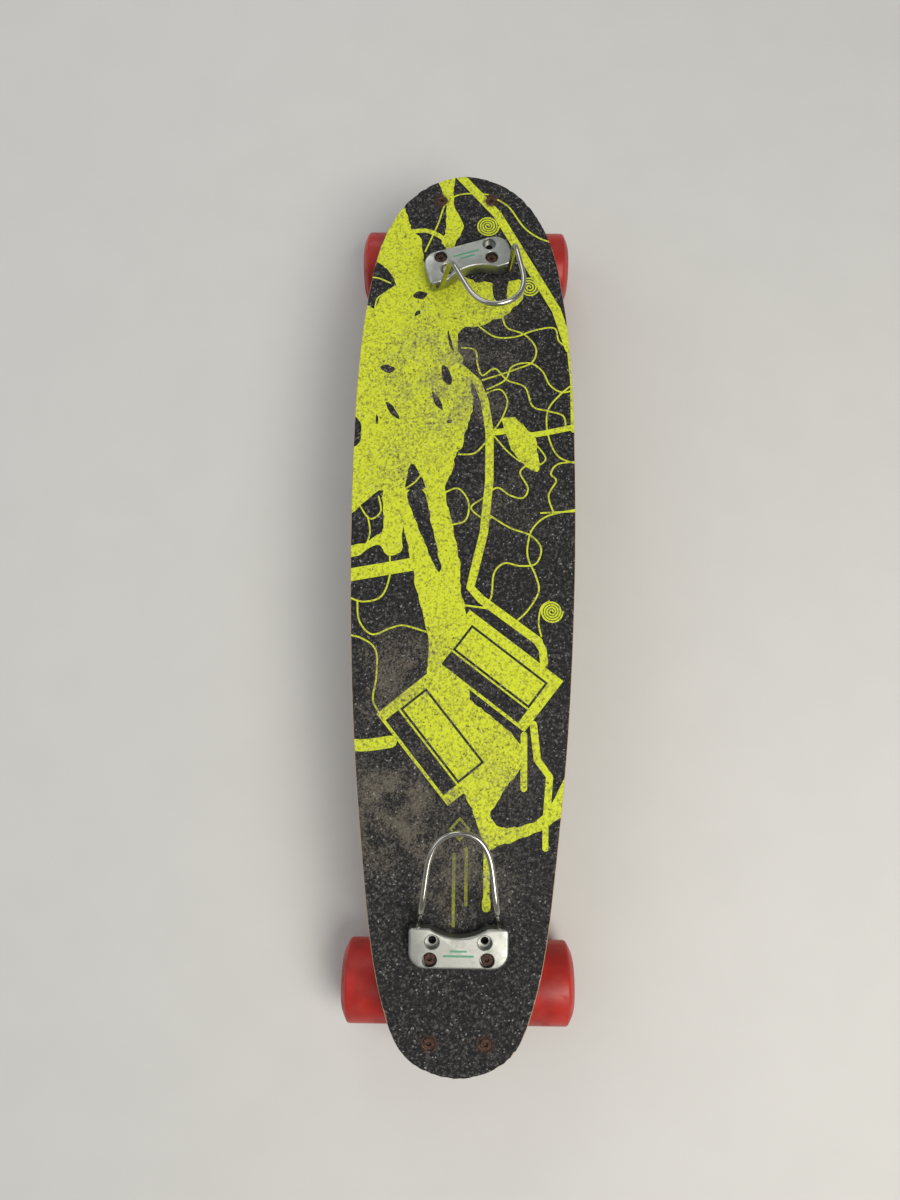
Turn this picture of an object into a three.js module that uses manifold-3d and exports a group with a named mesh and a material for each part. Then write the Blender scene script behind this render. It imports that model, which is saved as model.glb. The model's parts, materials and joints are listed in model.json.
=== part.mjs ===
// A cruiser skateboard: cambered wooden deck, two steering trucks, four wheels and two wire foot hooks.
// Millimetres, +Z up, +Y towards the nose, +X to the rider's right. The origin is on the ground, under
// the middle of the deck. Each truck is designed in its own frame: its top face at z = 0, +Y outwards.
import * as THREE from "three";
import { mergeVertices } from "three/addons/utils/BufferGeometryUtils.js";
import Module from "manifold-3d";

const wasm = await Module();
wasm.setup();

// ---- driving dimensions ----
const GAP = 0.3; // between pieces that touch
const DECK_HALF_LENGTH = 358.5;
const DECK_THICKNESS = 11;
const GRIP_THICKNESS = 0.8;
const CAMBER_RISE = 15; // of the deck's middle, over the height at CAMBER_SPAN
const CAMBER_SPAN = 300;
const CAMBER_FACETS = 13; // between the trucks, odd so that the middle one is level

const TRUCK_Y = 300.8;
const BASE_LENGTH = 82;
const BASE_WIDTH = 55;
const BASE_THICKNESS = 6;
const BASE_CORNER = 9;
const CAST_SEATS = { king: { tip: 12.5, foot: 19 }, pivot: { tip: 11.5, foot: 16 }, length: 28 };
const CAST_RIB = { width: 9, length: 34, depth: 13, middle: 4 };
const RISER_THICKNESS = 3;
const BOLT_SPACING_X = 41.3;
const BOLT_SPACING_Y = 63.5;

const WHEEL_RADIUS = 32;
const WHEEL_WIDTH = 45;
const WHEEL_SIDES = 32;
const WHEEL_LIP = { across: 7, down: 5 }; // the rounding at a tread's edge
const TYRE_WALL = 9; // from the tread down to where the side starts to hollow
const TRACK_OUTSIDE = 182; // over the wheels' outer faces
const CORE_RADIUS = 17;
const CORE_WIDTH = 26;
const BEARING_RADIUS = 11;
const BEARING_WIDTH = 7;
const SPACER_LENGTH = 10;
const AXLE_RADIUS = 4;
const AXLE_NUT = { radius: 7.3, height: 6.5 };
const HANGER_HALF_LENGTH = 55;

const KINGPIN_TILT = THREE.MathUtils.degToRad(20);
const KINGPIN_RADIUS = 4.75;
const KING_HEAD = { radius: 8.2, height: 5.5 };
const KING_NUT_HEIGHT = 8;
const RING_THICKNESS = 10;
const RING_RADIUS = 17.5;
const RING_BORE = 9;
const BUSHING_RADIUS = 12.3;
const BOARD_BUSHING = 14; // length outside the ring
const ROAD_BUSHING = 12;
const ROAD_BUSHING_TIP = 9.8; // radius at the cone's end
const WASHER_THICKNESS = 2;

const BOLT_RADIUS = 2.4;
const BOLT_HOLE = 2.9;
const BOLT_HEAD = { radius: 4.4, height: 3, socket: 1.75, socketDepth: 1.8 };
const BOLT_RECESS = 4.9;
const LOCK_NUT = { radius: 5.5, height: 5 };

const PLATE_THICKNESS = 12;
const PLATE_HALF_WIDTH = 35.9;
const PLATE_BACK = -6.4;
const PLATE_FRONT = 22.2;
const PLATE_SEAT = 6.2; // height of the counterbores' floors
const OUTER_HOLES = { x: BOLT_SPACING_X / 2, y: 0 };
const INNER_HOLES = { x: 18.9, y: 12.5 };
const EAR_X = 29.3;

const WIRE_RADIUS = 2;
const WIRE_STEPS = 46;
const WIRE_HEIGHT = 6; // where it leaves the plate
const WIRE_START = 12; // its end, inside the plate
const WIRE_FOOT = 4.2; // from the plate's edge to the first bend
const HOOK_SHOULDER = { x: 24.9, y: 49.3, z: 65.1 };
const HOOK_CROWN = { x: 18.3, y: 101.6, z: 69.5 };
const BEND_REACH = { foot: 4, shoulder: 7, crown: 25 }; // how far each bend starts before its corner
const HOOK_LEAN = { front: 0.09, rear: 0 }; // how far each wire is bent back at its foot, in radians

// ---- the truck's own points: [y outwards, z up] from the middle of its top face ----
const AXLE_POINT = new THREE.Vector3(0, 11, -50.4);
const RING_CENTRE = new THREE.Vector3(0, -14, -38);
const PIVOT_POINT = new THREE.Vector3(0, 26, -12);
const KINGPIN_UP = new THREE.Vector3(0, Math.sin(KINGPIN_TILT), Math.cos(KINGPIN_TILT));
const STEER_AXIS = RING_CENTRE.clone().sub(PIVOT_POINT).normalize();

const UP = new THREE.Vector3(0, 0, 1);
const RIGHT = new THREE.Vector3(1, 0, 0);
const LATHE_AXIS = new THREE.Vector3(0, 1, 0);
const HEX = 6;
const COARSE = 12; // sides of a round hole or shank, then of larger round pieces
const ROUND = 16;
const FINE = 20;
const THROUGH = 60; // longer than anything that it cuts

const FINISHES = {
  maple: { color: 0xc9a878, roughness: 0.55, metalness: 0 },
  grip: { color: 0x26262a, roughness: 0.95, metalness: 0 },
  plastic: { color: 0x1c1c1e, roughness: 0.6, metalness: 0 },
  castAluminium: { color: 0x9fa2a4, roughness: 0.5, metalness: 1 },
  plateAluminium: { color: 0xd2d8ce, roughness: 0.35, metalness: 1 },
  zincSteel: { color: 0x8d8f8f, roughness: 0.4, metalness: 1 },
  wireSteel: { color: 0xa6a8a2, roughness: 0.3, metalness: 1 },
  rustySteel: { color: 0x6a3d28, roughness: 0.8, metalness: 0.6 },
  bushing: { color: 0xe0d6b4, roughness: 0.5, metalness: 0 },
  redUrethane: { color: 0xc42b30, roughness: 0.5, metalness: 0 },
  core: { color: 0xd9d5c9, roughness: 0.5, metalness: 0 },
};

// ---- shape helpers ----
/** Closed three.js geometry as a manifold-3d solid, ready to join or cut. */
function solid(geometry) {
  const bare = geometry.index ? geometry.toNonIndexed() : geometry.clone();
  bare.deleteAttribute("normal");
  bare.deleteAttribute("uv");
  const merged = mergeVertices(bare, 1e-4);
  return new wasm.Manifold(
    new wasm.Mesh({
      numProp: 3,
      vertProperties: merged.attributes.position.array,
      triVerts: new Uint32Array(merged.index.array),
    }),
  );
}

/** A manifold-3d solid as three.js geometry. */
function geometryOf(shape) {
  const mesh = shape.getMesh();
  const geometry = new THREE.BufferGeometry();
  geometry.setAttribute("position", new THREE.BufferAttribute(mesh.vertProperties, 3));
  geometry.setIndex(new THREE.BufferAttribute(mesh.triVerts, 1));
  const faceted = geometry.toNonIndexed();
  faceted.computeVertexNormals();
  return faceted;
}

/** The first solid with the others joined on. */
const join = (first, ...rest) => rest.reduce((sum, next) => sum.add(next), first);

/** The first solid with the others cut away. */
const cut = (first, ...rest) => rest.reduce((left, tool) => left.subtract(tool), first);

/** Turns geometry made along the lathe's axis onto a direction, and moves it to a point. */
function along(geometry, origin, direction) {
  const turn = new THREE.Quaternion().setFromUnitVectors(LATHE_AXIS, direction);
  return geometry.applyQuaternion(turn).translate(origin.x, origin.y, origin.z);
}

/** A round or six-sided bar from one distance to another along a line. */
function bar(origin, direction, from, to, radius, { sides = ROUND, endRadius = radius } = {}) {
  const geometry = new THREE.CylinderGeometry(endRadius, radius, to - from, sides);
  return along(geometry.translate(0, (from + to) / 2, 0), origin, direction);
}

/** A solid of revolution. The profile is a list of [radius, distance along the line]. */
function turned(profile, origin, direction, sides = ROUND) {
  const points = profile.map(([radius, distance]) => new THREE.Vector2(radius, distance));
  return along(new THREE.LatheGeometry(points, sides), origin, direction);
}

/** A six-sided nut with a clear round hole, between two distances along a line. */
function nut(origin, direction, from, to, radius, hole) {
  const body = solid(bar(origin, direction, from, to, radius, { sides: HEX }));
  return geometryOf(cut(body, solid(bar(origin, direction, from - 1, to + 1, hole, { sides: COARSE }))));
}

const point = (x, y, z) => new THREE.Vector3(x, y, z);

/** Adds a named mesh to a group. */
function place(group, name, geometry, finish) {
  const mesh = new THREE.Mesh(geometry, new THREE.MeshStandardMaterial(FINISHES[finish]));
  mesh.name = name;
  group.add(mesh);
}

// ---- deck ----
/** Height of the camber's curve, from the deck's middle. */
const camber = (y) => -CAMBER_RISE * (y / CAMBER_SPAN) ** 2;

/** The camber's flats as [y, z] from tail to nose: one flat under each truck, one beyond it. */
function camberLine() {
  const inner = TRUCK_Y - BASE_LENGTH / 2;
  const outer = TRUCK_Y + BASE_LENGTH / 2;
  const end = DECK_HALF_LENGTH + 10;
  const breaks = [-end, -outer];
  for (let i = 0; i <= CAMBER_FACETS; i += 1) breaks.push(-inner + (2 * inner * i) / CAMBER_FACETS);
  breaks.push(outer, end);
  return breaks.map((y) => [y, camber(y)]);
}

/** The deck's outline from above: blunt round nose, widest ahead of the middle, narrower tail. */
function deckOutline() {
  const half = [
    [31, 349],
    [53, 328.5],
    [70.5, 291.5],
    [80.5, 238],
    [86.2, 165],
    [87.3, 75],
    [86, 0],
    [80.9, -105],
    [72.5, -197],
    [64.5, -264],
    [57, -301],
    [44.5, -335.5],
    [29, -350.5],
  ];
  const right = half.map(([x, y]) => point(x, y, 0));
  const left = half.map(([x, y]) => point(-x, y, 0)).reverse();
  const nose = point(0, DECK_HALF_LENGTH, 0);
  const tail = point(0, -DECK_HALF_LENGTH, 0);
  const loop = new THREE.CatmullRomCurve3([nose, ...right, tail, ...left], true, "centripetal");
  const points = loop.getPoints(72).slice(1); // the last point repeats the first
  return new THREE.Shape(points.map(({ x, y }) => new THREE.Vector2(x, y)));
}

/** A layer of the deck between two heights above its underside's camber line, cut to the outline. */
function deckLayer(bottom, top) {
  const line = camberLine();
  const lower = line.map(([y, z]) => new THREE.Vector2(y, z + bottom));
  const upper = line.map(([y, z]) => new THREE.Vector2(y, z + top)).reverse();
  const width = BASE_WIDTH * 4;
  const strip = new THREE.ExtrudeGeometry(new THREE.Shape([...lower, ...upper]), {
    depth: width,
    bevelEnabled: false,
  });
  // The side view's axes (y, z) and its depth become the model's Y, Z and X.
  const toSide = new THREE.Matrix4().makeBasis(point(0, 1, 0), point(0, 0, 1), point(1, 0, 0));
  strip.applyMatrix4(toSide).translate(-width / 2, 0, 0);
  const plan = new THREE.ExtrudeGeometry(deckOutline(), { depth: top + DECK_THICKNESS, bevelEnabled: false });
  return solid(strip).intersect(solid(plan));
}

// ---- where each truck stands: its flat's slope and the middle of its top face ----
const flatInner = camber(TRUCK_Y - BASE_LENGTH / 2);
const flatOuter = camber(TRUCK_Y + BASE_LENGTH / 2);
const TRUCK_SLOPE = Math.atan2(flatInner - flatOuter, BASE_LENGTH);
const flatMiddle = (flatInner + flatOuter) / 2;
const truckDepth = RISER_THICKNESS + 2 * GAP; // below the deck's underside
const axleBelow = Math.sin(TRUCK_SLOPE) * AXLE_POINT.y - Math.cos(TRUCK_SLOPE) * AXLE_POINT.z;
const axleHeight = WHEEL_RADIUS * Math.cos(Math.PI / WHEEL_SIDES);
const TRUCK_Z = axleHeight + axleBelow;
const DECK_BOTTOM = TRUCK_Z + truckDepth * Math.cos(TRUCK_SLOPE) - flatMiddle;
const truckShift = truckDepth * Math.sin(TRUCK_SLOPE);
const deckAboveTruck = DECK_THICKNESS * Math.cos(TRUCK_SLOPE) + truckDepth;
const gripAboveTruck = deckAboveTruck + (GAP + GRIP_THICKNESS) * Math.cos(TRUCK_SLOPE);

/** A group whose frame is one truck's: its top face's middle, +Y outwards. */
function truckFrame(root, facing) {
  const end = new THREE.Group();
  end.rotation.z = facing === "front" ? 0 : Math.PI;
  const frame = new THREE.Group();
  frame.position.set(0, TRUCK_Y - truckShift, TRUCK_Z);
  frame.rotation.x = -TRUCK_SLOPE;
  end.add(frame);
  root.add(end);
  return frame;
}

/** The four bolt places in a truck's frame, each with whether it is one of the inner pair. */
function boltPlaces() {
  const places = [];
  for (const y of [-BOLT_SPACING_Y / 2, BOLT_SPACING_Y / 2]) {
    for (const x of [-BOLT_SPACING_X / 2, BOLT_SPACING_X / 2]) places.push({ x, y, inner: y < 0 });
  }
  return places;
}

/** Holes through everything on a truck's bolt lines, wider where the outer pair's heads sink in. */
function boltHoles() {
  const sunk = gripAboveTruck - BOLT_HEAD.height - GAP;
  return boltPlaces().flatMap(({ x, y, inner }) => {
    const hole = solid(bar(point(x, y, 0), UP, -THROUGH, THROUGH, BOLT_HOLE, { sides: COARSE }));
    if (inner) return [hole];
    return [hole, solid(bar(point(x, y, 0), UP, sunk, THROUGH, BOLT_RECESS, { sides: COARSE }))];
  });
}

/** A solid in a truck's frame, as one in the whole board's. */
function onBoard(shape, facing) {
  const holder = new THREE.Group();
  const frame = truckFrame(holder, facing);
  holder.updateMatrixWorld(true);
  return solid(geometryOf(shape).applyMatrix4(frame.matrixWorld));
}

function deckAndGrip(root) {
  const holes = ["front", "rear"].flatMap((facing) => boltHoles().map((hole) => onBoard(hole, facing)));
  const gripBottom = DECK_BOTTOM + DECK_THICKNESS + GAP;
  const deck = deckLayer(DECK_BOTTOM, DECK_BOTTOM + DECK_THICKNESS);
  const grip = deckLayer(gripBottom, gripBottom + GRIP_THICKNESS);
  place(root, "deck_board", geometryOf(cut(deck, ...holes)), "maple");
  place(root, "grip_sheet", geometryOf(cut(grip, ...holes)), "grip");
}

// ---- trucks ----
/** A rounded rectangle as a flat slab. */
function slab(width, length, bottom, thickness, corner, bevel) {
  const x = width / 2 - bevel;
  const y = length / 2 - bevel;
  const shape = new THREE.Shape();
  shape.moveTo(-x + corner, -y);
  shape.lineTo(x - corner, -y);
  shape.quadraticCurveTo(x, -y, x, -y + corner);
  shape.lineTo(x, y - corner);
  shape.quadraticCurveTo(x, y, x - corner, y);
  shape.lineTo(-x + corner, y);
  shape.quadraticCurveTo(-x, y, -x, y - corner);
  shape.lineTo(-x, -y + corner);
  shape.quadraticCurveTo(-x, -y, -x + corner, -y);
  const geometry = new THREE.ExtrudeGeometry(shape, {
    depth: thickness - 2 * bevel,
    curveSegments: 4,
    bevelEnabled: bevel > 0,
    bevelSize: bevel,
    bevelThickness: bevel,
    bevelSegments: 1,
  });
  return geometry.translate(0, 0, bottom + bevel);
}

function riser() {
  const pad = solid(slab(BASE_WIDTH, BASE_LENGTH, GAP, RISER_THICKNESS, 7, 0));
  return geometryOf(cut(pad, ...boltHoles()));
}

// Distances along the kingpin's line, from the ring's middle up to the board.
const ringFace = RING_THICKNESS / 2;
const boardWasher = ringFace + GAP + BOARD_BUSHING + GAP;
const roadWasher = -(ringFace + GAP + ROAD_BUSHING + GAP);
const kingBoss = boardWasher + WASHER_THICKNESS + GAP;
const kingHead = kingBoss + 9;

// Distances along the steering line, from the pivot cup's mouth towards the ring.
const cupDepth = 10;
const cupRadius = 8.4;
const noseRadius = 5.6;

function baseplate() {
  const plate = solid(slab(BASE_WIDTH, BASE_LENGTH, -BASE_THICKNESS, BASE_THICKNESS, BASE_CORNER, 0.8));
  const { king, pivot, length } = CAST_SEATS;
  const kingFoot = { endRadius: king.foot, sides: FINE };
  const kingSeat = solid(bar(RING_CENTRE, KINGPIN_UP, kingBoss, kingBoss + length, king.tip, kingFoot));
  const pivotTip = { endRadius: pivot.tip, sides: FINE };
  const pivotSeat = solid(bar(PIVOT_POINT, STEER_AXIS, -length, 0, pivot.foot, pivotTip));
  const { width, depth, middle } = CAST_RIB;
  const rib = solid(new THREE.BoxGeometry(width, CAST_RIB.length, depth).translate(0, middle, -depth / 2));
  const under = new THREE.BoxGeometry(BASE_WIDTH - 2, BASE_LENGTH - 2, THROUGH);
  const room = solid(under.translate(0, 0, -THROUGH / 2));
  const body = join(plate, join(kingSeat, pivotSeat, rib).intersect(room));
  return geometryOf(
    cut(
      body,
      ...boltHoles(),
      solid(bar(RING_CENTRE, KINGPIN_UP, 0, THROUGH, KINGPIN_RADIUS + GAP)),
      solid(bar(RING_CENTRE, KINGPIN_UP, kingHead - GAP, THROUGH, KING_HEAD.radius + 1, { sides: FINE })),
      solid(bar(PIVOT_POINT, STEER_AXIS, -cupDepth - GAP, 20, cupRadius + GAP, { sides: FINE })),
    ),
  );
}

function pivotCup() {
  const inner = noseRadius + GAP;
  const profile = [
    [0, -cupDepth],
    [cupRadius - 1.5, -cupDepth],
    [cupRadius, -cupDepth + 1.5],
    [cupRadius, 0],
    [inner + 0.4, 0],
    [inner, -5],
    [inner * 0.7, -7.2],
    [0, -8],
  ];
  return turned(profile, PIVOT_POINT, STEER_AXIS, FINE);
}

function kingpin() {
  const shaft = bar(RING_CENTRE, KINGPIN_UP, roadWasher - 11.5, kingHead + 1, KINGPIN_RADIUS);
  const headTop = kingHead + KING_HEAD.height;
  const head = bar(RING_CENTRE, KINGPIN_UP, kingHead, headTop, KING_HEAD.radius, { sides: HEX });
  return geometryOf(join(solid(shaft), solid(head)));
}

/** One bushing: a lip inside the hanger's ring, and a barrel or cone outside it. */
function bushing(side, length, endRadius) {
  const face = ringFace + GAP;
  const bore = KINGPIN_RADIUS + GAP;
  const profile = [
    [bore, GAP],
    [RING_BORE - GAP, GAP],
    [RING_BORE - GAP, face],
    [BUSHING_RADIUS, face],
    [(BUSHING_RADIUS + endRadius) / 2 + 0.4, face + length / 2],
    [endRadius, face + length],
    [bore, face + length],
    [bore, GAP],
  ];
  return turned(profile, RING_CENTRE, KINGPIN_UP.clone().multiplyScalar(side));
}

/** A cupped washer that holds a bushing's end. */
function cupWasher(side, distance, radius) {
  const bore = KINGPIN_RADIUS + GAP;
  const profile = [
    [bore, distance],
    [radius + GAP, distance],
    [radius + GAP, distance - 2.2],
    [radius + GAP + 1.2, distance - 2.2],
    [radius + GAP + 1.2, distance + WASHER_THICKNESS - 0.8],
    [radius - 0.4, distance + WASHER_THICKNESS],
    [bore, distance + WASHER_THICKNESS],
    [bore, distance],
  ];
  return turned(profile, RING_CENTRE, KINGPIN_UP.clone().multiplyScalar(side));
}

/** The cast hanger: axle housing, arched wings, body, kingpin ring and pivot nose. */
function hanger() {
  const bore = AXLE_RADIUS + GAP;
  const housing = solid(bar(AXLE_POINT, RIGHT, -HANGER_HALF_LENGTH, HANGER_HALF_LENGTH, 7.6));
  const wings = new THREE.Shape();
  wings.moveTo(-44, 7);
  wings.lineTo(-44, -7.5);
  wings.lineTo(44, -7.5);
  wings.lineTo(44, 7);
  wings.quadraticCurveTo(18, 9, 11, 22);
  wings.lineTo(-11, 22);
  wings.quadraticCurveTo(-18, 9, -44, 7);
  const web = new THREE.ExtrudeGeometry(wings, { depth: 11, curveSegments: 5, bevelEnabled: false });
  web.rotateX(Math.PI / 2).translate(0, AXLE_POINT.y + 5.5, AXLE_POINT.z);
  const side = new THREE.Shape();
  side.moveTo(16, -13.6);
  side.lineTo(8.6, -19.4);
  side.lineTo(8, -36);
  side.lineTo(-4, -38.5);
  side.lineTo(-8, -45);
  side.lineTo(2, -56);
  side.lineTo(16, -56);
  side.lineTo(19.5, -24);
  const body = new THREE.ExtrudeGeometry(side, { depth: 15, bevelEnabled: false });
  const toSide = new THREE.Matrix4().makeBasis(point(0, 1, 0), UP, RIGHT);
  body.applyMatrix4(toSide).translate(-7.5, 0, 0);
  const ring = solid(bar(RING_CENTRE, KINGPIN_UP, -ringFace, ringFace, RING_RADIUS, { sides: FINE }));
  const ringHole = solid(bar(RING_CENTRE, KINGPIN_UP, -THROUGH, THROUGH, RING_BORE, { sides: FINE }));
  const bushingRoom = [
    solid(bar(RING_CENTRE, KINGPIN_UP, ringFace, 40, BUSHING_RADIUS + 3.5, { sides: FINE })),
    solid(bar(RING_CENTRE, KINGPIN_UP, -40, -ringFace, BUSHING_RADIUS + 3.5, { sides: FINE })),
  ];
  const noseProfile = [
    [0, -7.6],
    [noseRadius * 0.7, -6.8],
    [noseRadius, -4.6],
    [noseRadius, 2],
    [7.2, 13],
    [0, 13],
  ];
  const nose = solid(turned(noseProfile, PIVOT_POINT, STEER_AXIS, FINE));
  const frame = cut(join(housing, solid(web), solid(body)), ...bushingRoom);
  const axleBore = solid(bar(AXLE_POINT, RIGHT, -TRACK_OUTSIDE, TRACK_OUTSIDE, bore));
  return geometryOf(cut(join(frame, ring, nose), ringHole, axleBore));
}

function mountingBolt({ x, y, inner }) {
  const seat = inner ? gripAboveTruck + GAP + PLATE_SEAT + GAP : gripAboveTruck - BOLT_HEAD.height;
  const foot = point(x, y, 0);
  const { radius, height, socket, socketDepth } = BOLT_HEAD;
  const tip = -BASE_THICKNESS - LOCK_NUT.height - 3;
  const shaft = solid(bar(foot, UP, tip, seat + 1, BOLT_RADIUS, { sides: COARSE }));
  const head = solid(bar(foot, UP, seat, seat + height, radius));
  const key = solid(bar(foot, UP, seat + height - socketDepth, seat + height + 1, socket, { sides: HEX }));
  return geometryOf(cut(join(shaft, head), key));
}

function lockNut({ x, y }) {
  const top = -BASE_THICKNESS - GAP;
  return nut(point(x, y, 0), UP, top - LOCK_NUT.height, top, LOCK_NUT.radius, BOLT_RADIUS + GAP);
}

// ---- wheels ----
const wheelMiddle = (TRACK_OUTSIDE - WHEEL_WIDTH) / 2;
const halfWheel = WHEEL_WIDTH / 2;
const halfCore = CORE_WIDTH / 2;
const halfBearings = SPACER_LENGTH / 2 + BEARING_WIDTH;

/** The poured tyre: flat tread, rounded lips, dished faces. A flat of it stands on the ground. */
function tyre(wheelCentre) {
  const { across, down } = WHEEL_LIP;
  const slack = 1 - Math.SQRT1_2; // how far a quarter ellipse's middle is from its corner, as a share
  const bore = CORE_RADIUS + GAP;
  const half = [
    [bore, halfCore],
    [WHEEL_RADIUS - TYRE_WALL, halfWheel],
    [WHEEL_RADIUS - down, halfWheel],
    [WHEEL_RADIUS - down * slack, halfWheel - across * slack],
    [WHEEL_RADIUS, halfWheel - across],
  ];
  const other = half.map(([radius, distance]) => [radius, -distance]);
  const ring = [...other, ...half.reverse(), other[0]];
  const points = ring.map(([radius, distance]) => new THREE.Vector2(radius, distance));
  const geometry = new THREE.LatheGeometry(points, WHEEL_SIDES);
  geometry.rotateY(Math.PI / WHEEL_SIDES + TRUCK_SLOPE);
  return along(geometry, wheelCentre, RIGHT);
}

/** The hub core: bearing seats with a stop between them. */
function core(wheelCentre) {
  const seat = BEARING_RADIUS + GAP;
  const stop = SPACER_LENGTH / 2 - GAP;
  const profile = [
    [CORE_RADIUS, -halfCore],
    [CORE_RADIUS, halfCore],
    [seat, halfCore],
    [seat, stop],
    [9, stop],
    [9, -stop],
    [seat, -stop],
    [seat, -halfCore],
    [CORE_RADIUS, -halfCore],
  ];
  return turned(profile, wheelCentre, RIGHT);
}

/** Two ball bearings on their spacer tube, as one solid. */
function bearingSet(wheelCentre) {
  const bore = AXLE_RADIUS + 0.15;
  const tube = 5.4;
  const inside = SPACER_LENGTH / 2;
  const profile = [
    [bore, -halfBearings],
    [BEARING_RADIUS, -halfBearings],
    [BEARING_RADIUS, -inside],
    [tube, -inside],
    [tube, inside],
    [BEARING_RADIUS, inside],
    [BEARING_RADIUS, halfBearings],
    [bore, halfBearings],
    [bore, -halfBearings],
  ];
  return turned(profile, wheelCentre, RIGHT);
}

function truck(root, facing) {
  const frame = truckFrame(root, facing);
  place(frame, `riser_${facing}`, riser(), "plastic");
  place(frame, `baseplate_${facing}`, baseplate(), "castAluminium");
  place(frame, `pivot_cup_${facing}`, pivotCup(), "plastic");
  place(frame, `kingpin_${facing}`, kingpin(), "zincSteel");
  place(frame, `bushing_board_side_${facing}`, bushing(1, BOARD_BUSHING, BUSHING_RADIUS), "bushing");
  place(frame, `bushing_road_side_${facing}`, bushing(-1, ROAD_BUSHING, ROAD_BUSHING_TIP), "bushing");
  place(frame, `cup_washer_board_side_${facing}`, cupWasher(1, boardWasher, BUSHING_RADIUS), "zincSteel");
  const roadCup = cupWasher(-1, -roadWasher, ROAD_BUSHING_TIP + 1);
  place(frame, `cup_washer_road_side_${facing}`, roadCup, "zincSteel");
  const nutTop = roadWasher - WASHER_THICKNESS - GAP;
  const nutBottom = nutTop - KING_NUT_HEIGHT;
  const nutHole = KINGPIN_RADIUS + GAP;
  const kingNut = nut(RING_CENTRE, KINGPIN_UP, nutBottom, nutTop, KING_HEAD.radius, nutHole);
  place(frame, `kingpin_nut_${facing}`, kingNut, "zincSteel");
  place(frame, `hanger_${facing}`, hanger(), "castAluminium");
  const axleEnd = wheelMiddle + halfBearings + 1 + AXLE_NUT.height + 1.2;
  place(frame, `axle_${facing}`, bar(AXLE_POINT, RIGHT, -axleEnd, axleEnd, AXLE_RADIUS), "zincSteel");
  for (const spot of boltPlaces()) {
    // Left and right are the board's own, whichever way the truck faces.
    const onRight = spot.x > 0 === (facing === "front");
    const name = `${spot.inner ? "inner" : "outer"}_${onRight ? "right" : "left"}_${facing}`;
    place(frame, `bolt_${name}`, mountingBolt(spot), "rustySteel");
    place(frame, `lock_nut_${name}`, lockNut(spot), "zincSteel");
  }
  for (const x of [-wheelMiddle, wheelMiddle]) {
    const side = x > 0 === (facing === "front") ? "right" : "left";
    const centre = point(x, AXLE_POINT.y, AXLE_POINT.z);
    place(frame, `tyre_${facing}_${side}`, tyre(centre), "redUrethane");
    place(frame, `core_${facing}_${side}`, core(centre), "core");
    place(frame, `bearings_${facing}_${side}`, bearingSet(centre), "zincSteel");
    const outwards = point(Math.sign(x), 0, 0);
    const from = halfBearings + 1;
    const axleNut = nut(centre, outwards, from, from + AXLE_NUT.height, AXLE_NUT.radius, AXLE_RADIUS + GAP);
    place(frame, `axle_nut_${facing}_${side}`, axleNut, "zincSteel");
  }
}

// ---- foot hooks: +Y towards the plate's hollowed front edge, the outer holes on the X axis ----
function hookPlate() {
  const bevel = 0.8;
  const side = PLATE_HALF_WIDTH - bevel;
  const back = PLATE_BACK + bevel;
  const front = PLATE_FRONT - bevel;
  const backCorner = 11;
  const frontCorner = 3;
  const hollow = { x: 21, depth: 13 };
  const shape = new THREE.Shape();
  shape.moveTo(-side + backCorner, back);
  shape.lineTo(side - backCorner, back);
  shape.quadraticCurveTo(side, back, side, back + backCorner);
  shape.lineTo(side, front - frontCorner);
  shape.quadraticCurveTo(side, front, side - frontCorner, front);
  shape.lineTo(hollow.x, front);
  shape.quadraticCurveTo(0, front - hollow.depth, -hollow.x, front);
  shape.lineTo(-side + frontCorner, front);
  shape.quadraticCurveTo(-side, front, -side, front - frontCorner);
  shape.lineTo(-side, back + backCorner);
  shape.quadraticCurveTo(-side, back, -side + backCorner, back);
  const blank = new THREE.ExtrudeGeometry(shape, {
    depth: PLATE_THICKNESS - 2 * bevel,
    curveSegments: 6,
    bevelSize: bevel,
    bevelThickness: bevel,
    bevelSegments: 1,
  });
  const holes = [];
  for (const { x, y } of [OUTER_HOLES, INNER_HOLES]) {
    for (const sign of [-1, 1]) {
      const centre = point(sign * x, y, 0);
      holes.push(solid(bar(centre, UP, -THROUGH, THROUGH, BOLT_HOLE, { sides: COARSE })));
      holes.push(solid(bar(centre, UP, PLATE_SEAT, THROUGH, BOLT_RECESS + 0.2)));
    }
  }
  const forwards = point(0, 1, 0);
  for (const x of [-EAR_X, EAR_X]) {
    const mouth = point(x, 0, WIRE_HEIGHT);
    holes.push(solid(bar(mouth, forwards, WIRE_START - 0.5, THROUGH, WIRE_RADIUS + GAP, { sides: COARSE })));
  }
  return geometryOf(cut(solid(blank.translate(0, 0, bevel)), ...holes));
}

/** A wire route of straight runs with rounded corners, each with its reach before and after. */
function roundedRoute(start, corners, end) {
  const route = new THREE.CurvePath();
  let from = start;
  corners.forEach(({ at, before, after }, i) => {
    const next = i < corners.length - 1 ? corners[i + 1].at : end;
    const last = i > 0 ? corners[i - 1].at : start;
    const first = at.clone().add(last.clone().sub(at).setLength(before));
    const second = at.clone().add(next.clone().sub(at).setLength(after));
    route.add(new THREE.LineCurve3(from, first));
    route.add(new THREE.QuadraticBezierCurve3(first, at, second));
    from = second;
  });
  route.add(new THREE.LineCurve3(from, end));
  return route;
}

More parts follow.
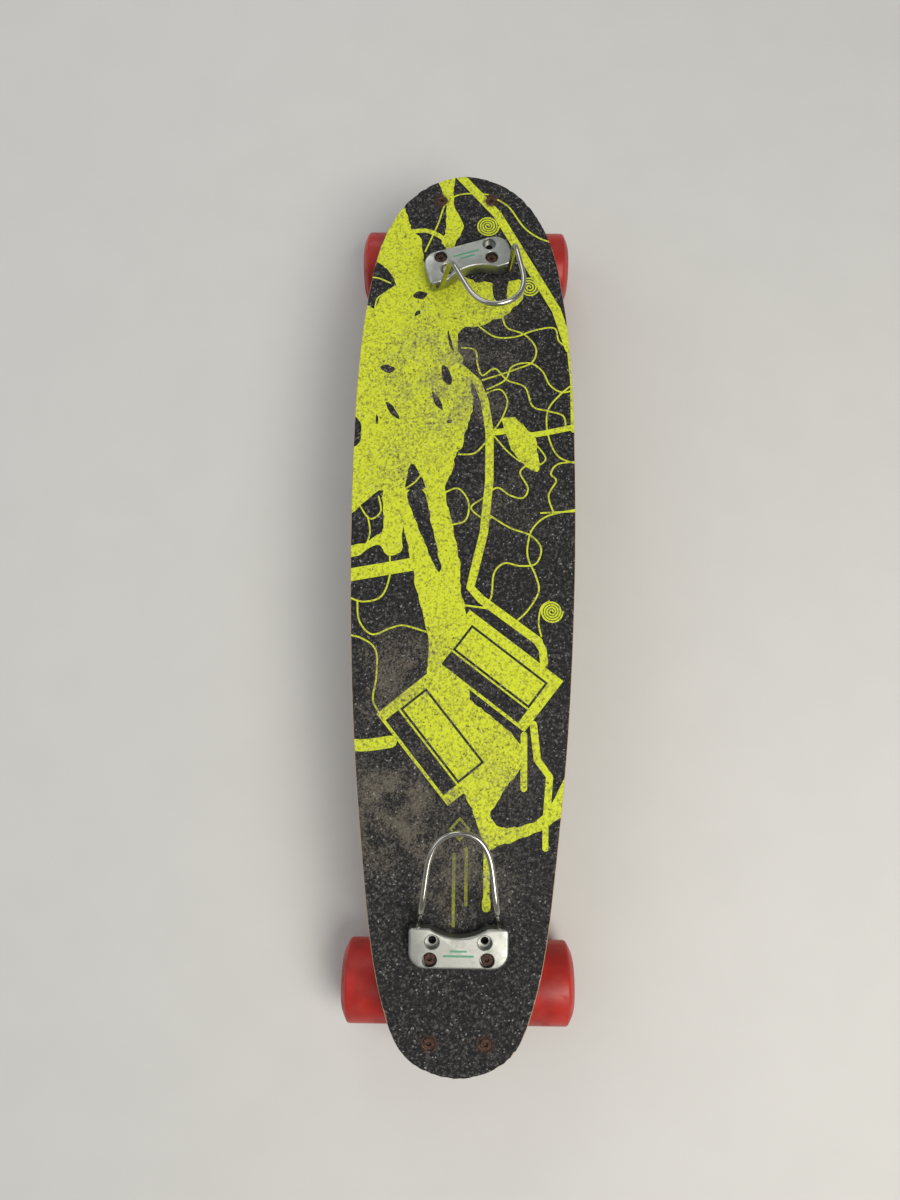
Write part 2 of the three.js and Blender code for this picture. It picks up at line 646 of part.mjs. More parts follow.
/** One steel wire: out of the plate, up two legs, then a level loop over the foot. */
function wireHook(lean) {
  const root = point(EAR_X, PLATE_FRONT + WIRE_FOOT, WIRE_HEIGHT);
  const leant = ({ x, y, z }) => point(x, y, z).sub(root).applyAxisAngle(RIGHT, lean).add(root);
  const halfCrown = HOOK_CROWN.x - 0.1;
  const { foot, shoulder, crown } = BEND_REACH;
  const half = [
    { at: root, before: foot, after: foot },
    { at: leant(HOOK_SHOULDER), before: shoulder, after: shoulder },
    { at: leant(HOOK_CROWN), before: crown, after: halfCrown },
  ];
  const flipped = (spot) => point(-spot.x, spot.y, spot.z);
  const others = half.map(({ at, before, after }) => ({ at: flipped(at), before: after, after: before }));
  const start = point(EAR_X, WIRE_START, WIRE_HEIGHT);
  const route = roundedRoute(start, [...half, ...others.reverse()], flipped(start));
  const section = new THREE.Shape().absarc(0, 0, WIRE_RADIUS, 0, 2 * Math.PI);
  return new THREE.ExtrudeGeometry(section, {
    steps: WIRE_STEPS,
    curveSegments: 4, // for each half of the round section
    bevelEnabled: false,
    extrudePath: route,
  });
}

/** A hook plate and its wire over a truck's inner bolts, the hollow edge towards the board's middle. */
function footHook(root, facing) {
  const frame = truckFrame(root, facing);
  const hook = new THREE.Group();
  const bolts = point(0, -BOLT_SPACING_Y / 2, gripAboveTruck + GAP);
  if (facing === "rear") {
    hook.rotation.z = Math.PI;
    hook.position.copy(bolts);
  } else {
    // The front plate is skewed: one bolt is in an outer hole and the other in an inner hole.
    hook.rotation.z = Math.PI + Math.atan2(INNER_HOLES.y, OUTER_HOLES.x + INNER_HOLES.x);
    const pivot = point(OUTER_HOLES.x, OUTER_HOLES.y, 0).applyAxisAngle(UP, hook.rotation.z);
    hook.position.copy(bolts).add(point(-OUTER_HOLES.x, 0, 0)).sub(pivot);
  }
  frame.add(hook);
  place(hook, `hook_plate_${facing}`, hookPlate(), "plateAluminium");
  place(hook, `wire_hook_${facing}`, wireHook(HOOK_LEAN[facing]), "wireSteel");
}

const skateboard = new THREE.Group();
deckAndGrip(skateboard);
for (const facing of ["front", "rear"]) {
  truck(skateboard, facing);
  footHook(skateboard, facing);
}

export default skateboard;
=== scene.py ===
"""The looks of a cruiser skateboard: printed grit deck, red urethane wheels, cast trucks, wire foot hooks.

Everything is in metres, in the CAD part's own frame: +Z up, +Y towards the nose, origin on the ground.
"""

import json
import logging
import math
from dataclasses import dataclass, field
from enum import Enum
from typing import Iterable, Mapping, Sequence

import bmesh
import bpy
from bmesh.types import BMesh
from bpy.types import Material, Node, NodeSocket, NodeTree, Object
from mathutils import Matrix, Vector, geometry, noise


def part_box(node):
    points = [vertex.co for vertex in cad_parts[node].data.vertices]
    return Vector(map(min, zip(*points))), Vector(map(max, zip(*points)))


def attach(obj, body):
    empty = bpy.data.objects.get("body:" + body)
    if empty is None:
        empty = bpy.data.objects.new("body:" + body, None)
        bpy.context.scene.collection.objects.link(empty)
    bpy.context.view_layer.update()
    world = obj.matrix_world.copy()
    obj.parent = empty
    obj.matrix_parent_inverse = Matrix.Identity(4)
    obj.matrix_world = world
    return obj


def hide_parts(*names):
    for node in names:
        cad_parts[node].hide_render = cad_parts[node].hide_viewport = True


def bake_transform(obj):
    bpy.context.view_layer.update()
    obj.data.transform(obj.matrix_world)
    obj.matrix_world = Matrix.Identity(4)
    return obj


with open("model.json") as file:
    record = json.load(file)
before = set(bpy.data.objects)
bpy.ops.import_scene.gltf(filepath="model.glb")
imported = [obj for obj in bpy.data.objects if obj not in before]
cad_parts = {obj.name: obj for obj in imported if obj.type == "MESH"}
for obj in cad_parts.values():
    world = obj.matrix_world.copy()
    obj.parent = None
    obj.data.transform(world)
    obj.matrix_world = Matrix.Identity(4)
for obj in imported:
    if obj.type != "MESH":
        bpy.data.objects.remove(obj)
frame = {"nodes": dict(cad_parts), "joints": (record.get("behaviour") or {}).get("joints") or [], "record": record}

LOG = logging.getLogger("skateboard")
MM = 0.001
UP = Vector((0.0, 0.0, 1.0))
RIGHT = Vector((1.0, 0.0, 0.0))
ENDS = ("front", "rear")
SIDES = ("left", "right")
Profile = Sequence[tuple[float, float]]


class Ink(Enum):
    """What the grit sheet is printed with."""

    BLACK = 0.0
    OLIVE = 0.4
    LIME = 1.0


# ---------------------------------------------------------------- finding places in the frame
@dataclass(frozen=True)
class Line:
    """A straight line in the frame that turned pieces are made round."""

    origin: Vector
    direction: Vector

    def span(self, node: str) -> tuple[float, float]:
        """The stretch of the line that a CAD node takes up.

        Args:
            node: The CAD node's name.

        Returns:
            The lowest and highest distance along the line.
        """
        vertices = frame["nodes"][node].data.vertices
        reach = [(vertex.co - self.origin).dot(self.direction) for vertex in vertices]
        return min(reach), max(reach)

    def matrix(self, distance: float = 0.0) -> Matrix:
        """A frame whose +Z runs along the line, with its zero a distance along it."""
        turn = self.direction.to_track_quat("Z", "Y").to_matrix().to_4x4()
        return Matrix.Translation(self.origin + self.direction * distance) @ turn


def middle(node: str) -> Vector:
    """The middle of a CAD node's box."""
    low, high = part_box(node)
    return (low + high) / 2


def centroid(node: str) -> Vector:
    """The mean of a CAD node's corners, which lies on the axis of a round piece."""
    vertices = frame["nodes"][node].data.vertices
    return sum((vertex.co for vertex in vertices), Vector()) / len(vertices)


def bolt_head(tag: str) -> Vector:
    """The middle of a mounting bolt's top face."""
    line = line_between(f"lock_nut_{tag}", f"bolt_{tag}")
    return line.origin + line.direction * line.span(f"bolt_{tag}")[1]


def outer_bolt_heads() -> list[Vector]:
    """The middles of the four bolt heads that no plate covers."""
    return [bolt_head(f"outer_{side}_{end}") for end in ENDS for side in SIDES]


def line_between(start: str, end: str) -> Line:
    """The line from one round CAD node's middle to another's on the same axis."""
    first = centroid(start)
    return Line(first, (centroid(end) - first).normalized())


# ---------------------------------------------------------------- mesh work
def turned(profile: Profile, line: Line, steps: int = 64, distance: float = 0.0) -> BMesh:
    """Spins a profile round a line.

    Args:
        profile: Radius and distance along the line, in metres. It closes on itself unless both ends are
            on the line.
        line: The line to turn it about.
        steps: Faces round the piece.
        distance: Where on the line the profile's zero is.

    Returns:
        The closed mesh, with its faces outwards.
    """
    mesh = bmesh.new()
    corners = [mesh.verts.new((radius, 0.0, height)) for radius, height in profile]
    ends_on_axis = profile[0][0] == 0.0 and profile[-1][0] == 0.0
    following = corners[1:] if ends_on_axis else corners[1:] + corners[:1]
    edges = [mesh.edges.new(pair) for pair in zip(corners, following)]
    bmesh.ops.spin(
        mesh,
        geom=corners + edges,
        cent=(0.0, 0.0, 0.0),
        axis=UP,
        dvec=(0.0, 0.0, 0.0),
        angle=math.tau,
        steps=steps,
        use_merge=True,
    )
    bmesh.ops.remove_doubles(mesh, verts=mesh.verts, dist=1e-7)
    bmesh.ops.recalc_face_normals(mesh, faces=mesh.faces)
    bmesh.ops.transform(mesh, matrix=line.matrix(distance), verts=mesh.verts)
    return mesh


def prism(outline: Iterable[Sequence[float]], bottom: float, top: float) -> BMesh:
    """A flat outline raised into a solid.

    Args:
        outline: The corners' x and y, in order.
        bottom: Height of the lower face.
        top: Height of the upper face.

    Returns:
        The closed mesh, with its faces outwards.
    """
    mesh = bmesh.new()
    corners = [mesh.verts.new((x, y, bottom)) for x, y in outline]
    base = mesh.faces.new(corners)
    raised = bmesh.ops.extrude_face_region(mesh, geom=[base], use_keep_orig=True)["geom"]
    moved = [item for item in raised if isinstance(item, bmesh.types.BMVert)]
    bmesh.ops.translate(mesh, verts=moved, vec=(0.0, 0.0, top - bottom))
    bmesh.ops.recalc_face_normals(mesh, faces=mesh.faces)
    return mesh


def mirrored(half: Profile) -> list[tuple[float, float]]:
    """Half of a profile, joined to its mirror image across zero."""
    return [*half, *((radius, -height) for radius, height in reversed(half))]


def flipped(profile: Profile, way: float) -> list[tuple[float, float]]:
    """A profile as it is, or turned end for end when way is -1."""
    return [(radius, way * height) for radius, height in profile]


def copy_of(node: str) -> BMesh:
    """A CAD node's shape as one joined mesh that may be worked on."""
    mesh = bmesh.new()
    mesh.from_mesh(frame["nodes"][node].data)
    bmesh.ops.remove_doubles(mesh, verts=mesh.verts, dist=2e-6)
    return mesh


def polygon(sides: int, radius: float, turn: float = 0.0) -> list[tuple[float, float]]:
    """The corners of a regular polygon about zero."""
    steps = [math.tau * (index + turn) / sides for index in range(sides)]
    return [(radius * math.cos(angle), radius * math.sin(angle)) for angle in steps]


def curve_through(points: Sequence[Sequence[float]], closed: bool, per_span: int) -> list[Vector]:
    """Points on a smooth Catmull-Rom curve.

    Args:
        points: The points that the curve goes through.
        closed: Whether it comes back to its first point.
        per_span: How many steps there are between two points.

    Returns:
        The curve's points, without a repeat of the first.
    """
    knots = [Vector(point) for point in points]
    count = len(knots)
    found = []
    for index in range(count if closed else count - 1):
        if closed:
            before, start, end, after = (knots[(index + step) % count] for step in (-1, 0, 1, 2))
        else:
            before = knots[max(index - 1, 0)]
            start, end = knots[index], knots[index + 1]
            after = knots[min(index + 2, count - 1)]
        for step in range(per_span):
            t = step / per_span
            found.append(
                0.5
                * (
                    2 * start
                    + (end - before) * t
                    + (2 * before - 5 * start + 4 * end - after) * t**2
                    + (3 * start - before - 3 * end + after) * t**3
                )
            )
    if not closed:
        found.append(knots[-1])
    return found


def carve(target: BMesh, tools: Sequence[BMesh]) -> BMesh:
    """Cuts solids out of a solid.

    Args:
        target: The mesh to cut, which is used up.
        tools: The meshes to take away, which are used up too.

    Returns:
        What is left.
    """
    holders = []
    for index, mesh in enumerate([target, *tools]):
        data = bpy.data.meshes.new(f"carving_{index}")
        mesh.to_mesh(data)
        mesh.free()
        holder = bpy.data.objects.new(f"carving_{index}", data)
        bpy.context.scene.collection.objects.link(holder)
        holders.append(holder)
    for tool in holders[1:]:
        cut = holders[0].modifiers.new("cut", "BOOLEAN")
        cut.operation = "DIFFERENCE"
        cut.solver = "EXACT"
        cut.object = tool
    bpy.context.view_layer.update()
    evaluated = holders[0].evaluated_get(bpy.context.evaluated_depsgraph_get())
    left = bmesh.new()
    left.from_mesh(evaluated.to_mesh())
    evaluated.to_mesh_clear()
    for holder in holders:
        data = holder.data
        bpy.data.objects.remove(holder)
        bpy.data.meshes.remove(data)
    bmesh.ops.remove_doubles(left, verts=left.verts, dist=1e-7)
    return left


def new_object(name: str, mesh: BMesh, finish: Material) -> Object:
    """Makes an object of a mesh, which is used up, and puts it in the scene."""
    data = bpy.data.meshes.new(name)
    mesh.to_mesh(data)
    mesh.free()
    data.materials.append(finish)
    piece = bpy.data.objects.new(name, data)
    bpy.context.scene.collection.objects.link(piece)
    return piece


def shade(piece: Object, sharp: float) -> None:
    """Shades a piece smooth, apart from edges sharper than an angle in degrees."""
    piece.data.shade_smooth()
    piece.data.set_sharp_from_angle(angle=math.radians(sharp))


def add_piece(
    name: str,
    mesh: BMesh,
    finish: Material,
    body: str,
    replaces: Sequence[str] = (),
    sharp: float = 32.0,
) -> Object:
    """Makes an object of a finished mesh and sets it on its body.

    Args:
        name: The piece's name.
        mesh: Its mesh, which is used up.
        finish: Its material.
        body: The CAD body that it moves with.
        replaces: The CAD nodes that it stands for.
        sharp: The angle in degrees above which an edge shows as sharp.

    Returns:
        The new object.
    """
    piece = new_object(name, mesh, finish)
    shade(piece, sharp)
    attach(piece, body)
    if replaces:
        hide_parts(*replaces)
    LOG.info("%s: %d faces on %s", name, len(piece.data.polygons), body)
    return piece


def soften(piece: Object, width: float, segments: int = 2, angle: float = 35.0) -> None:
    """Breaks a piece's sharp edges so that they catch the light.

    Args:
        piece: The object.
        width: The broken edge's width in metres.
        segments: Faces across it.
        angle: The least angle in degrees that counts as sharp.
    """
    bevel = piece.modifiers.new("broken edges", "BEVEL")
    bevel.width = width
    bevel.segments = segments
    bevel.limit_method = "ANGLE"
    bevel.angle_limit = math.radians(angle)
    bevel.harden_normals = True


# ---------------------------------------------------------------- materials
def linear(hex_colour: str) -> tuple[float, float, float, float]:
    """An sRGB hex colour as linear red, green, blue and alpha."""
    shares = [int(hex_colour[index : index + 2], 16) / 255 for index in (1, 3, 5)]
    red, green, blue = (s / 12.92 if s <= 0.04045 else ((s + 0.055) / 1.055) ** 2.4 for s in shares)
    return red, green, blue, 1.0


EASED = {"interpolation_type": "SMOOTHSTEP"}  # eases in and out, as stains and wear fade
COLOURS = {"data_type": "RGBA"}
PRODUCT = {"operation": "MULTIPLY"}
PRODUCT_PLUS = {"operation": "MULTIPLY_ADD"}


def add(
    tree: NodeTree,
    kind: str,
    settings: Mapping[str, object] | None = None,
    inputs: Mapping[str | int, object] | None = None,
) -> Node:
    """Adds a node.

    Args:
        tree: The node tree to add it to.
        kind: The node's type, without its ShaderNode prefix.
        settings: The node's own properties.
        inputs: A value, or a socket to link, for each input by its name or number.

    Returns:
        The node.
    """
    node = tree.nodes.new("ShaderNode" + kind)
    for key, value in (settings or {}).items():
        setattr(node, key, value)
    for key, value in (inputs or {}).items():
        if isinstance(value, NodeSocket):
            tree.links.new(value, node.inputs[key])
        else:
            node.inputs[key].default_value = value
    return node


@dataclass(frozen=True)
class Finish:
    """A material and how its surface was made. Each kind paints its own colour and relief."""

    name: str
    roughness: float = 0.5
    metallic: float = 0.0
    coat: float = 0.0
    specular: float = 0.5
    subsurface: float = 0.0

    def material(self) -> Material:
        """The Blender material, made once for each finish."""
        known = bpy.data.materials.get(self.name)
        if known:
            return known
        made = bpy.data.materials.new(self.name)
        made.use_nodes = True
        tree = made.node_tree
        tree.nodes.clear()
        shader = add(
            tree,
            "BsdfPrincipled",
            inputs={
                "Roughness": self.roughness,
                "Metallic": self.metallic,
                "Coat Weight": self.coat,
                "Specular IOR Level": self.specular,
                "Subsurface Weight": self.subsurface,
            },
        )
        output = add(tree, "OutputMaterial")
        tree.links.new(shader.outputs[0], output.inputs["Surface"])
        place = add(tree, "TexCoord").outputs["Object"]
        self.paint(tree, shader, place)
        return made

    def paint(self, tree: NodeTree, shader: Node, place: NodeSocket) -> None:
        """Links the finish's own colour, roughness and relief. Each kind of finish has its own."""
        raise NotImplementedError


def grains(
    tree: NodeTree, place: NodeSocket, size: float, detail: float = 2.0, seed: float = 0.0
) -> NodeSocket:
    """A noise whose patches are about a size across.

    Args:
        tree: The node tree.
        place: The coordinates that it is laid on.
        size: The patches' size in metres.
        detail: How many finer layers it has.
        seed: Moves the pattern along, so that two finishes differ.

    Returns:
        The noise, from 0 to 1.
    """
    moved = add(tree, "VectorMath", {"operation": "ADD"}, {0: place, 1: (seed, seed, seed)})
    settings = {"Vector": moved.outputs[0], "Scale": 1 / size, "Detail": detail, "Roughness": 0.55}
    return add(tree, "TexNoise", inputs=settings).outputs[0]


@dataclass(frozen=True)
class WornZone:
    """A round patch of the deck that shoes have dirtied."""

    x: float
    y: float
    reach: float
    strength: float = 1.0


@dataclass(frozen=True)
class PrintedGrit(Finish):
    """Sprayed grit with screen-printed ink: matt, speckled by its grains, with shoe dirt rubbed in."""

    lime: str = "#CBD62B"
    lime_fleck: str = "#8A8C34"
    lime_pit: str = "#4F4C2C"
    black: str = "#111114"
    black_fleck: str = "#5A5854"
    dirt: str = "#7A7263"
    glint: str = "#C4C4C0"
    rust: str = "#4A2C1F"
    grain: float = 1.2 * MM  # twice the real grit's 0.6 mm, so that it shows from standing height
    zones: tuple[WornZone, ...] = ()

    def paint(self, tree: NodeTree, shader: Node, place: NodeSocket) -> None:
        """Lays flecks on each ink, then dirt over both where shoes rub."""
        ink = add(tree, "Attribute", {"attribute_name": "ink"}).outputs["Fac"]
        stones = self.stones(tree, place, self.grain)
        small = self.stones(tree, place, self.grain * 0.8, 0.7)
        clumps = grains(tree, place, 2.6 * MM, 4.0, 3.7)
        patchy = add(
            tree,
            "MapRange",
            EASED,
            {0: grains(tree, place, 26 * MM, 5.0, 1.3), 1: 0.34, 2: 0.62, 3: 0.25, 4: 1.0},
        ).outputs[0]
        rubbed = add(tree, "Math", PRODUCT, {0: self.wear(tree, place), 1: patchy}).outputs[0]
        heaped = add(tree, "Math", PRODUCT_PLUS, {0: stones, 1: 0.45, 2: clumps}).outputs[0]
        chipped = add(tree, "Math", PRODUCT_PLUS, {0: rubbed, 1: 0.2, 2: heaped}).outputs[0]
        lime = add(
            tree,
            "Mix",
            COLOURS,
            {
                0: add(tree, "MapRange", EASED, {0: chipped, 1: 0.66, 2: 0.98, 3: 0.0, 4: 0.8}).outputs[0],
                6: linear(self.lime),
                7: linear(self.lime_fleck),
            },
        ).outputs[2]
        lime = add(
            tree,
            "Mix",
            COLOURS,
            {
                0: add(tree, "MapRange", EASED, {0: chipped, 1: 0.96, 2: 1.08, 3: 0.0, 4: 0.85}).outputs[0],
                6: lime,
                7: linear(self.lime_pit),
            },
        ).outputs[2]
        flecked = add(tree, "MapRange", EASED, {0: heaped, 1: 0.68, 2: 1.08}).outputs[0]
        black = add(
            tree, "Mix", COLOURS, {0: flecked, 6: linear(self.black), 7: linear(self.black_fleck)}
        ).outputs[2]
        printed = add(tree, "Mix", COLOURS, {0: ink, 6: black, 7: lime}).outputs[2]
        spared = add(tree, "Math", PRODUCT_PLUS, {0: small, 1: -0.9, 2: rubbed}).outputs[0]
        soiled = add(tree, "MapRange", EASED, {0: spared, 1: -0.2, 2: 0.6, 3: 0.0, 4: 0.6}).outputs[0]
        colour = add(tree, "Mix", COLOURS, {0: soiled, 6: printed, 7: linear(self.dirt)}).outputs[2]
        colour = add(
            tree,
            "Mix",
            COLOURS,
            {
                0: add(tree, "MapRange", EASED, {0: small, 1: 0.86, 2: 0.94, 3: 0.0, 4: 0.4}).outputs[0],
                6: colour,
                7: linear(self.glint),
            },
        ).outputs[2]
        colour = add(
            tree, "Mix", COLOURS, {0: self.near_bolts(tree, place, clumps), 6: colour, 7: linear(self.rust)}
        ).outputs[2]
        tree.links.new(colour, shader.inputs["Base Color"])
        tree.links.new(
            add(tree, "MapRange", EASED, {0: stones, 1: 0.2, 2: 0.8, 3: 0.62, 4: 0.95}).outputs[0],
            shader.inputs["Roughness"],
        )
        tree.links.new(
            add(tree, "Bump", inputs={"Height": heaped, "Distance": 0.4 * MM, "Strength": 1.0}).outputs[0],
            shader.inputs["Normal"],
        )

    def stones(self, tree: NodeTree, place: NodeSocket, size: float, seed: float = 0.0) -> NodeSocket:
        """A chance value from 0 to 1 for each stone of the grit.

        Args:
            tree: The node tree.
            place: The coordinates that it is laid on.
            size: The stones' spacing in metres.
            seed: Moves the pattern along.

        Returns:
            The value.
        """
        moved = add(tree, "VectorMath", {"operation": "ADD"}, {0: place, 1: (seed, seed, seed)}).outputs[0]
        return add(tree, "TexVoronoi", inputs={"Vector": moved, "Scale": 1 / size}).outputs["Color"]

    def wear(self, tree: NodeTree, place: NodeSocket) -> NodeSocket:
        """How dirty the sheet is at each place, from its worn zones."""
        return self.highest(
            tree, place, [(zone.x, zone.y, zone.reach, 0.0, zone.strength) for zone in self.zones]
        )

    def near_bolts(self, tree: NodeTree, place: NodeSocket, clumps: NodeSocket) -> NodeSocket:
        """Where the open bolt heads have bled rust into the grit."""
        spots = [(spot.x, spot.y, 8.5 * MM, 4.2 * MM, 0.8) for spot in outer_bolt_heads()]
        return add(
            tree,
            "Math",
            PRODUCT,
            {
                0: self.highest(tree, place, spots),
                1: add(tree, "MapRange", EASED, {0: clumps, 1: 0.3, 2: 0.6}).outputs[0],
            },
        ).outputs[0]

    @staticmethod
    def highest(tree: NodeTree, place: NodeSocket, spots: Sequence[tuple[float, ...]]) -> NodeSocket:
        """The strongest of several round spots, each x, y, its reach, where it is full, and its strength.

        Args:
            tree: The node tree.
            place: The coordinates that they are laid on.
            spots: The spots.

        Returns:
            The strength at each place.
        """
        flat = add(tree, "VectorMath", PRODUCT, {0: place, 1: (1.0, 1.0, 0.0)}).outputs[0]
        found: NodeSocket | None = None
        for x, y, reach, full, strength in spots:
            away = add(
                tree, "VectorMath", {"operation": "DISTANCE"}, {0: flat, 1: (x, y, 0.0)}
            ).outputs["Value"]
            spot = add(tree, "MapRange", EASED, {0: away, 1: reach, 2: full, 3: 0.0, 4: strength}).outputs[0]
            found = add(
                tree, "Math", {"operation": "MAXIMUM"}, {0: found, 1: spot}
            ).outputs[0] if found else spot
        return found


@dataclass(frozen=True)
class MapleLaminate(Finish):
    """Cross-laid maple veneers, pressed and clear-coated: fine long grain, and thin dark glue lines at the edge."""

    face: str = "#D2B68E"
    grain_line: str = "#A98A62"
    end_grain: str = "#BFA07A"
    glue: str = "#8E7355"
    dirt: str = "#5B4B3A"
    underside: float = 0.0
    ply: float = 1.57 * MM
    bend: float = 0.1667  # the camber's fall is this times y squared

    def paint(self, tree: NodeTree, shader: Node, place: NodeSocket) -> None:
        """Counts plies up from the underside along the camber, and colours each as its grain runs."""
        parts = add(tree, "SeparateXYZ", inputs={0: place})
        fall = add(tree, "Math", {"operation": "POWER"}, {0: parts.outputs["Y"], 1: 2.0}).outputs[0]
        flat = add(tree, "Math", PRODUCT_PLUS, {0: fall, 1: self.bend, 2: parts.outputs["Z"]})
        level = add(tree, "Math", {"operation": "SUBTRACT"}, {0: flat.outputs[0], 1: self.underside})
        count = {0: level.outputs[0], 1: 1 / self.ply, 2: 0.3}  # begins inside a ply, clear of a glue line
        plies = add(tree, "Math", PRODUCT_PLUS, count).outputs[0]
        pair = add(tree, "Math", {"operation": "PINGPONG"}, {0: plies, 1: 1.0}).outputs[0]
        within = add(tree, "Math", {"operation": "FRACT"}, {0: plies}).outputs[0]
        joint = add(tree, "Math", {"operation": "PINGPONG"}, {0: within, 1: 0.5}).outputs[0]
        stretched = add(tree, "VectorMath", PRODUCT, {0: place, 1: (1.0, 0.05, 1.0)}).outputs[0]
        figure = grains(tree, stretched, 2.2 * MM, 5.0)
        broad = grains(tree, stretched, 16 * MM, 2.0, 2.0)
        long_grain = add(
            tree,
            "Mix",
            COLOURS,
            {
                0: add(tree, "MapRange", EASED, {0: figure, 1: 0.42, 2: 0.72, 3: 0.0, 4: 0.55}).outputs[0],
                6: linear(self.face),
                7: linear(self.grain_line),
            },
        ).outputs[2]
        long_grain = add(
            tree,
            "Mix",
            COLOURS,
            {
                0: add(tree, "MapRange", EASED, {0: broad, 1: 0.4, 2: 0.7, 3: 0.0, 4: 0.3}).outputs[0],
                6: long_grain,
                7: linear(self.grain_line),
            },
        ).outputs[2]
        crossed = add(
            tree,
            "Mix",
            COLOURS,
            {
                0: add(tree, "MapRange", EASED, {0: pair, 1: 0.45, 2: 0.55, 3: 0.0, 4: 0.6}).outputs[0],
                6: long_grain,
                7: linear(self.end_grain),
            },
        ).outputs[2]
        glued = add(
            tree,
            "Mix",
            COLOURS,
            {
                0: add(tree, "MapRange", EASED, {0: joint, 1: 0.1, 2: 0.02, 3: 0.0, 4: 0.75}).outputs[0],
                6: crossed,
                7: linear(self.glue),
            },
        ).outputs[2]
        soil = add(
            tree,
            "MapRange",
            EASED,
            {0: grains(tree, place, 22 * MM, 7.0, 4.0), 1: 0.5, 2: 0.75, 3: 0.0, 4: 0.35},
        ).outputs[0]
        tree.links.new(
            add(tree, "Mix", COLOURS, {0: soil, 6: glued, 7: linear(self.dirt)}).outputs[2],
            shader.inputs["Base Color"],
        )
        tree.links.new(
            add(tree, "MapRange", EASED, {0: figure, 1: 0.3, 2: 0.7, 3: 0.34, 4: 0.52}).outputs[0],
            shader.inputs["Roughness"],
        )
        tree.links.new(
            add(tree, "Bump", inputs={"Height": figure, "Distance": 0.06 * MM, "Strength": 0.6}).outputs[0],
            shader.inputs["Normal"],
        )


@dataclass(frozen=True)
class Metal(Finish):
    """A bare or plated metal: its tint shifts in patches, and its roughness follows the way it was worked."""

    metallic: float = 1.0
    colour: str = "#B9BBBC"
    stain: str = "#7E7C76"
    stain_size: float = 7 * MM
    stained: float = 0.35
    stretch: tuple[float, float, float] = (1.0, 1.0, 1.0)  # under 1 along the way that it was drawn or brushed
    texture: float = 0.7 * MM
    depth: float = 0.03 * MM
    spread: float = 0.12

    def paint(self, tree: NodeTree, shader: Node, place: NodeSocket) -> None:
        """Stains the colour in patches, and varies roughness and relief along the working direction."""
        drawn = add(tree, "VectorMath", PRODUCT, {0: place, 1: self.stretch}).outputs[0]
        fine = grains(tree, drawn, self.texture, 4.0)
        patches = grains(tree, place, self.stain_size, 5.0, 5.3)
        share = add(
            tree, "MapRange", EASED, {0: patches, 1: 0.46, 2: 0.72, 3: 0.0, 4: self.stained}
        ).outputs[0]
        tree.links.new(
            add(tree, "Mix", COLOURS, {0: share, 6: linear(self.colour), 7: linear(self.stain)}).outputs[2],
            shader.inputs["Base Color"],
        )
        low, high = self.roughness - self.spread, self.roughness + self.spread
        mixed = add(
            tree,
            "Math",
            PRODUCT_PLUS,
            {0: patches, 1: 0.5, 2: add(tree, "Math", PRODUCT, {0: fine, 1: 0.5}).outputs[0]},
        )
        tree.links.new(
            add(tree, "MapRange", EASED, {0: mixed.outputs[0], 1: 0.35, 2: 0.65, 3: low, 4: high}).outputs[0],
            shader.inputs["Roughness"],
        )
        tree.links.new(
            add(tree, "Bump", inputs={"Height": fine, "Distance": self.depth, "Strength": 1.0}).outputs[0],
            shader.inputs["Normal"],
        )


@dataclass(frozen=True)
class RustedSteel(Finish):
    """Steel bolt heads left out in the wet: brown scale with orange bloom, matt, and a dull glint where worn."""

    scale: str = "#2A1C16"
    bloom: str = "#583422"
    bare: str = "#5C5048"

    def paint(self, tree: NodeTree, shader: Node, place: NodeSocket) -> None:
        """Lays orange bloom and bare glints over the brown scale."""
        lumps = grains(tree, place, 1.6 * MM, 5.0)
        spots = grains(tree, place, 0.7 * MM, 3.0, 2.2)
        rust = add(
            tree,
            "Mix",
            COLOURS,
            {
                0: add(tree, "MapRange", EASED, {0: lumps, 1: 0.42, 2: 0.62}).outputs[0],
                6: linear(self.scale),
                7: linear(self.bloom),
            },
        ).outputs[2]
        bare = add(tree, "MapRange", EASED, {0: spots, 1: 0.62, 2: 0.7, 3: 0.0, 4: 0.7}).outputs[0]
        tree.links.new(
            add(tree, "Mix", COLOURS, {0: bare, 6: rust, 7: linear(self.bare)}).outputs[2],
            shader.inputs["Base Color"],
        )
        tree.links.new(
            add(tree, "MapRange", EASED, {0: spots, 1: 0.6, 2: 0.7, 3: 0.1, 4: 0.85}).outputs[0],
            shader.inputs["Metallic"],
        )
        tree.links.new(
            add(tree, "MapRange", EASED, {0: spots, 1: 0.4, 2: 0.7, 3: 0.85, 4: 0.5}).outputs[0],
            shader.inputs["Roughness"],
        )
        tree.links.new(
            add(tree, "Bump", inputs={"Height": lumps, "Distance": 0.12 * MM, "Strength": 1.0}).outputs[0],
            shader.inputs["Normal"],
        )


